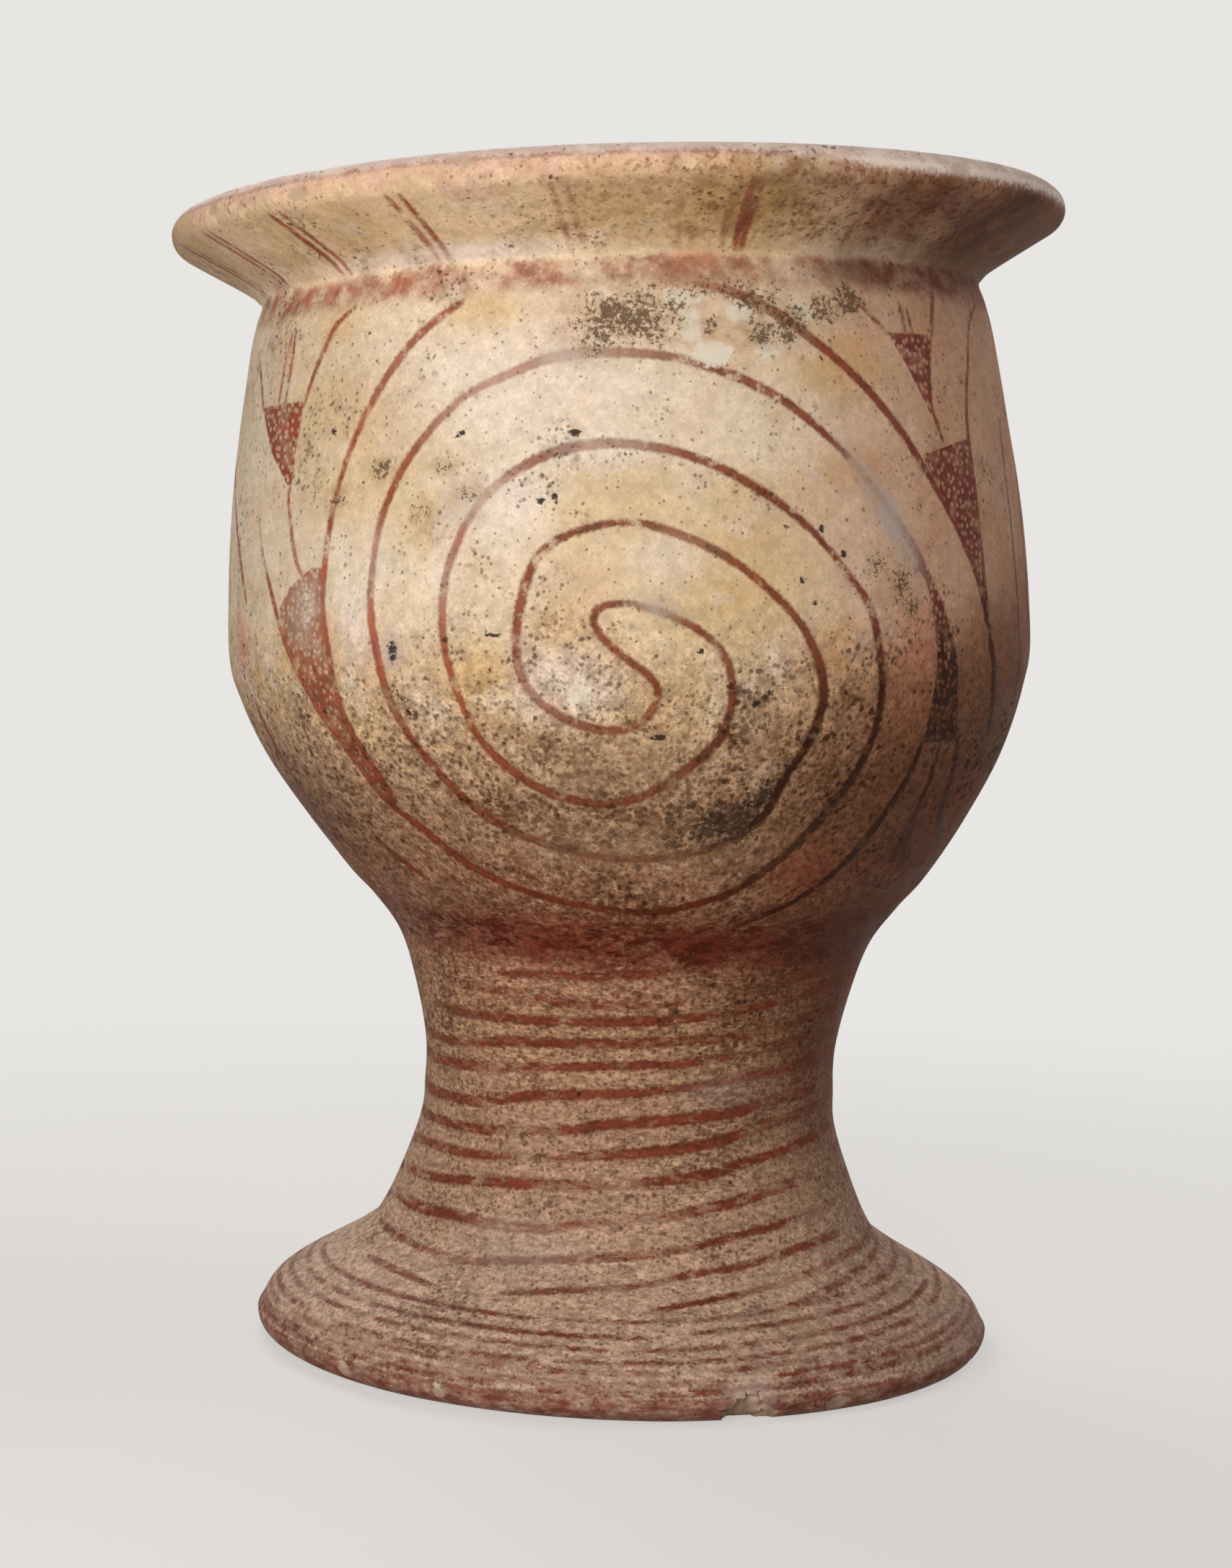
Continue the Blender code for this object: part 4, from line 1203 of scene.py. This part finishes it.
    # Deposits: veils of soot, partly painted shade, and of ash, lime, gritty crust, scorch and black
    # flecks
    soot_and_shade = times(measure("soot_and_shade"), ramp(cloud, 0.32, 0.62, 0.45, 0.95), less(1.0, rubbed))
    ash = times(measure("ash"), ramp(grain, 0.36, 0.6, 0.3, 0.9))
    lime = plus(measure("lime"), times(ragged, 1.2), times(cloudy, 0.9))
    deposit, scorched, charred = measure("crust"), measure("scorch"), measure("char")
    gritty = plus(times(less(noise(place, 1.0, 4, 0.7, 51), 0.5), 1.8), times(cloudy, 0.9))
    crust = ramp(plus(times(deposit, 0.55), gritty), 0.4, 0.6)
    crust = times(crust, ramp(deposit, 0.08, 0.4))
    scorch = ramp(plus(times(scorched, 0.6), gritty), 0.25, 0.65, 0.0, 0.85)
    char = ramp(plus(charred, times(ragged, 2.2)), 0.35, 0.7, 0.0, 0.95)
    skin = layers(
        skin, (soot_and_shade, SOOT_AND_SHADE), (ash, ASH), (ramp(lime, 0.34, 0.68, 0.0, 0.85), LIME),
        (times(deposit, ramp(grain, 0.36, 0.62, 0.75, 0.3)), TAN), (times(crust, 0.85), CRUST),
        (times(scorch, ramp(scorched, 0.08, 0.4)), SCORCH),
        (times(char, ramp(charred, 0.1, 0.35)), CHAR),
        (ramp(measure("chip"), 0.15, 0.6, 0.0, 0.75), BARE),
    )

    # Inside: plain buff slip, darker towards the floor
    within = recipe.tint(mix(ramp(level, 215, 118), INNER_BUFF, INNER_DARK), mottle)
    within = layers(
        within, (times(ramp(smear, 0.44, 0.7), 0.5), SMUDGE), (times(edge, 0.8), colour),
        (times(pits, 0.7), PIT),
    )

    # Matt slip, a little smoother where it was burnished or painted, rough where it is crusted
    rough = times(plus(crust, pits), 0.2)
    gloss = plus(ramp(cloud, 0.3, 0.7, 0.74, 0.6), times(paint, -0.06), rough)
    relief = plus(times(grain, 0.5), times(cloud, 0.7), times(grit, 0.12), times(paint, 0.08))
    relief = plus(relief, times(crust, 0.5), times(pits, -0.4))
    surface = set_surface(recipe, mix(outside, within, skin), gloss, relief, 0.55, 0.5 * MM)
    surface.inputs["Specular IOR Level"].default_value = MATT_SHEEN
    return material


def bare_clay(name):
    """Unpainted fired clay, gritty and sooty, inside the pedestal."""
    material, recipe = clay_material(name)
    times, ramp, noise = recipe.times, recipe.ramp, recipe.noise
    place = recipe.node("ShaderNodeTexCoord").outputs["Object"]
    cloud = noise(place, 12, 4, 0.6, 1)
    grain = noise(place, 1.6, 5, 0.7, 2)
    clay = recipe.mix(ramp(cloud, 0.38, 0.66), INNER_BUFF, INNER_DARK)
    clay = recipe.tint(clay, ramp(grain, 0.28, 0.72, 0.75, 1.1))
    flecks = ramp(noise(place, 1.2, 2, 0.5, 3), 0.64, 0.7)
    clay = recipe.mix(times(flecks, 0.8), clay, PIT)
    relief = recipe.plus(grain, times(cloud, 1.5))
    set_surface(recipe, clay, ramp(cloud, 0.3, 0.7, 0.82, 0.92), relief, 0.7, 0.6 * MM)
    return material


def make_vase():
    """All nine clay members, each standing for its node of the frame."""
    work = BrushWork()
    paint_bowl(work)
    paint_pedestal(work)
    paint_rim(work)
    lines = work.as_object()
    tree = turned_wall_tree()
    stains = all_stains()
    slips = ("pedestal_slip", "joint_band", "bowl_slip", "neck_band", "rim_slip")
    finishes = {slot: painted_slip(slot + "_paint") for slot in slips}
    finishes["bare_clay"] = bare_clay("bare_pedestal_clay")
    members = [
        ("foot_skirt", foot_skirt_section(), "pedestal_slip"),
        ("stem_tube", stem_tube_section(), "pedestal_slip"),
        ("luting_collar", luting_collar_section(), "joint_band"),
        ("inner_luting_coil", inner_luting_coil_section(), "bare_clay"),
        ("bowl_base", bowl_base_section(), "bowl_slip"),
        ("belly_wall", wall_section(BELLY_SEAM, UPPER_SEAM), "bowl_slip"),
        ("upper_wall", wall_section(UPPER_SEAM, NECK_SEAM), "bowl_slip"),
        ("neck_collar", wall_section(NECK_SEAM, RIM_SEAM), "neck_band"),
        ("rim_flange", rim_flange_section(), "rim_slip"),
    ]
    for node, section, slot in members:
        piece = turned_wall("painted_" + node, section, finishes[slot], tree, lines)
        finish_wall(piece, stains)
        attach(piece, "root")
        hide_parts(node)
    bpy.data.objects.remove(lines)


FLOOR_REACH, FLOOR_SIDES = 1.6, 96
FLOOR_CLEAR, FLOOR_FADE = 0.22, 0.66
FLOOR_MATT = shade(150, 148, 145)
FLOOR_PALE = shade(190, 188, 185)
BACKDROP = (0.80, 0.79, 0.77, 1.0)


def seen_rays(recipe):
    """1 for rays that the camera sees straight, mirrored or through glass."""
    rays = recipe.node("ShaderNodeLightPath").outputs
    return recipe.most(rays["Is Camera Ray"], rays["Is Glossy Ray"], rays["Is Transmission Ray"])


def make_floor():
    """A plain pale floor that keeps the shadow and fades into the backdrop."""
    mesh = bpy.data.meshes.new("pale_floor")
    shape = bmesh.new()
    bmesh.ops.create_circle(shape, cap_ends=True, segments=FLOOR_SIDES, radius=FLOOR_REACH)
    shape.to_mesh(mesh)
    shape.free()
    floor = put_in_scene("pale_floor", mesh)
    material = bpy.data.materials.new("pale_floor")
    material.use_nodes = True
    tree = material.node_tree
    tree.nodes.clear()
    recipe = Recipe(tree)
    place = recipe.node("ShaderNodeTexCoord").outputs["Object"]
    away = recipe.node("ShaderNodeVectorMath", {0: place}, operation="LENGTH").outputs["Value"]
    seen = seen_rays(recipe)
    matt = recipe.node("ShaderNodeBsdfDiffuse", {"Color": FLOOR_MATT}).outputs[0]
    glow = recipe.node("ShaderNodeEmission", {"Color": FLOOR_PALE, "Strength": seen}).outputs[0]
    lit = recipe.node("ShaderNodeAddShader", {0: matt, 1: glow}).outputs[0]
    clear = recipe.node("ShaderNodeBsdfTransparent").outputs[0]
    fade = recipe.ramp(away, FLOOR_CLEAR, FLOOR_FADE)
    blend = recipe.node("ShaderNodeMixShader", {0: fade, 1: lit, 2: clear}).outputs[0]
    recipe.node("ShaderNodeOutputMaterial", {"Surface": blend})
    mesh.materials.append(material)


FILL_STRENGTH = 0.06


def make_backdrop():
    """A pale backdrop for the camera, and only a weak even fill for the vase."""
    world = bpy.data.worlds.new("studio")
    bpy.context.scene.world = world
    world.use_nodes = True
    tree = world.node_tree
    tree.nodes.clear()
    recipe = Recipe(tree)
    fill = recipe.node("ShaderNodeBackground", {"Color": (1, 1, 1, 1), "Strength": FILL_STRENGTH})
    pale = recipe.node("ShaderNodeBackground", {"Color": BACKDROP, "Strength": 1.0})
    joins = {0: seen_rays(recipe), 1: fill.outputs[0], 2: pale.outputs[0]}
    blend = recipe.node("ShaderNodeMixShader", joins).outputs[0]
    recipe.node("ShaderNodeOutputWorld", {"Surface": blend})


# Lamps, as (name, degrees round, degrees up, distance, size, watts, colour)
WHITE, WARM_WHITE = (1.0, 1.0, 1.0), (1.0, 0.98, 0.95)
LAMPS = [
    ("key_lamp", -17, 4, 0.80, 0.55, 5.6, WARM_WHITE),
    ("side_lamp", 100, 48, 1.0, 0.60, 3.0, WHITE),
    ("back_lamp", -155, 40, 1.0, 0.60, 6.0, WHITE),
]
LIGHT_AIM = Vector((0.0, 0.0, 0.19))


def soft_lamp(name, around, above, distance, size, watts, colour):
    """A square soft lamp, placed by its turn and elevation as seen from the vase."""
    data = bpy.data.lights.new(name, "AREA")
    data.shape = "SQUARE"
    data.size = size
    data.energy = watts
    data.color = colour
    lamp = put_in_scene(name, data)
    turn, rise = math.radians(around), math.radians(above)
    level = math.cos(rise)
    towards = Vector((level * math.sin(turn), -level * math.cos(turn), math.sin(rise)))
    lamp.location = LIGHT_AIM + towards * distance
    lamp.rotation_euler = towards.to_track_quat("Z", "Y").to_euler()


# The camera stands in front, a little above the middle, tipped down and rolled very slightly
CAMERA_PLACE = Vector((0.00403, -0.7293, 0.1774))
CAMERA_PITCH = -0.0558
CAMERA_ROLL = 0.0337
CAMERA_LENS = 67.606
CAMERA_SENSOR = 36.0


def make_camera():
    """The camera at the viewing angle that the vase is shown from."""
    data = bpy.data.cameras.new("viewer")
    data.lens = CAMERA_LENS
    data.sensor_width = CAMERA_SENSOR
    data.sensor_fit = "AUTO"
    data.clip_start, data.clip_end = 0.01, 20.0
    camera = put_in_scene("viewer", data)
    upward = Vector((0, -math.sin(CAMERA_PITCH), math.cos(CAMERA_PITCH)))
    ahead = Vector((0, math.cos(CAMERA_PITCH), math.sin(CAMERA_PITCH)))
    right = Vector((1, 0, 0))
    rolled_right = math.cos(CAMERA_ROLL) * right + math.sin(CAMERA_ROLL) * upward
    rolled_up = math.cos(CAMERA_ROLL) * upward - math.sin(CAMERA_ROLL) * right
    turn = Matrix((rolled_right, rolled_up, -ahead)).transposed()
    camera.matrix_world = Matrix.Translation(CAMERA_PLACE) @ turn.to_4x4()
    bpy.context.scene.camera = camera


make_vase()
make_floor()
make_backdrop()
for lamp_values in LAMPS:
    soft_lamp(*lamp_values)
make_camera()
bpy.context.scene.view_settings.view_transform = "Standard"
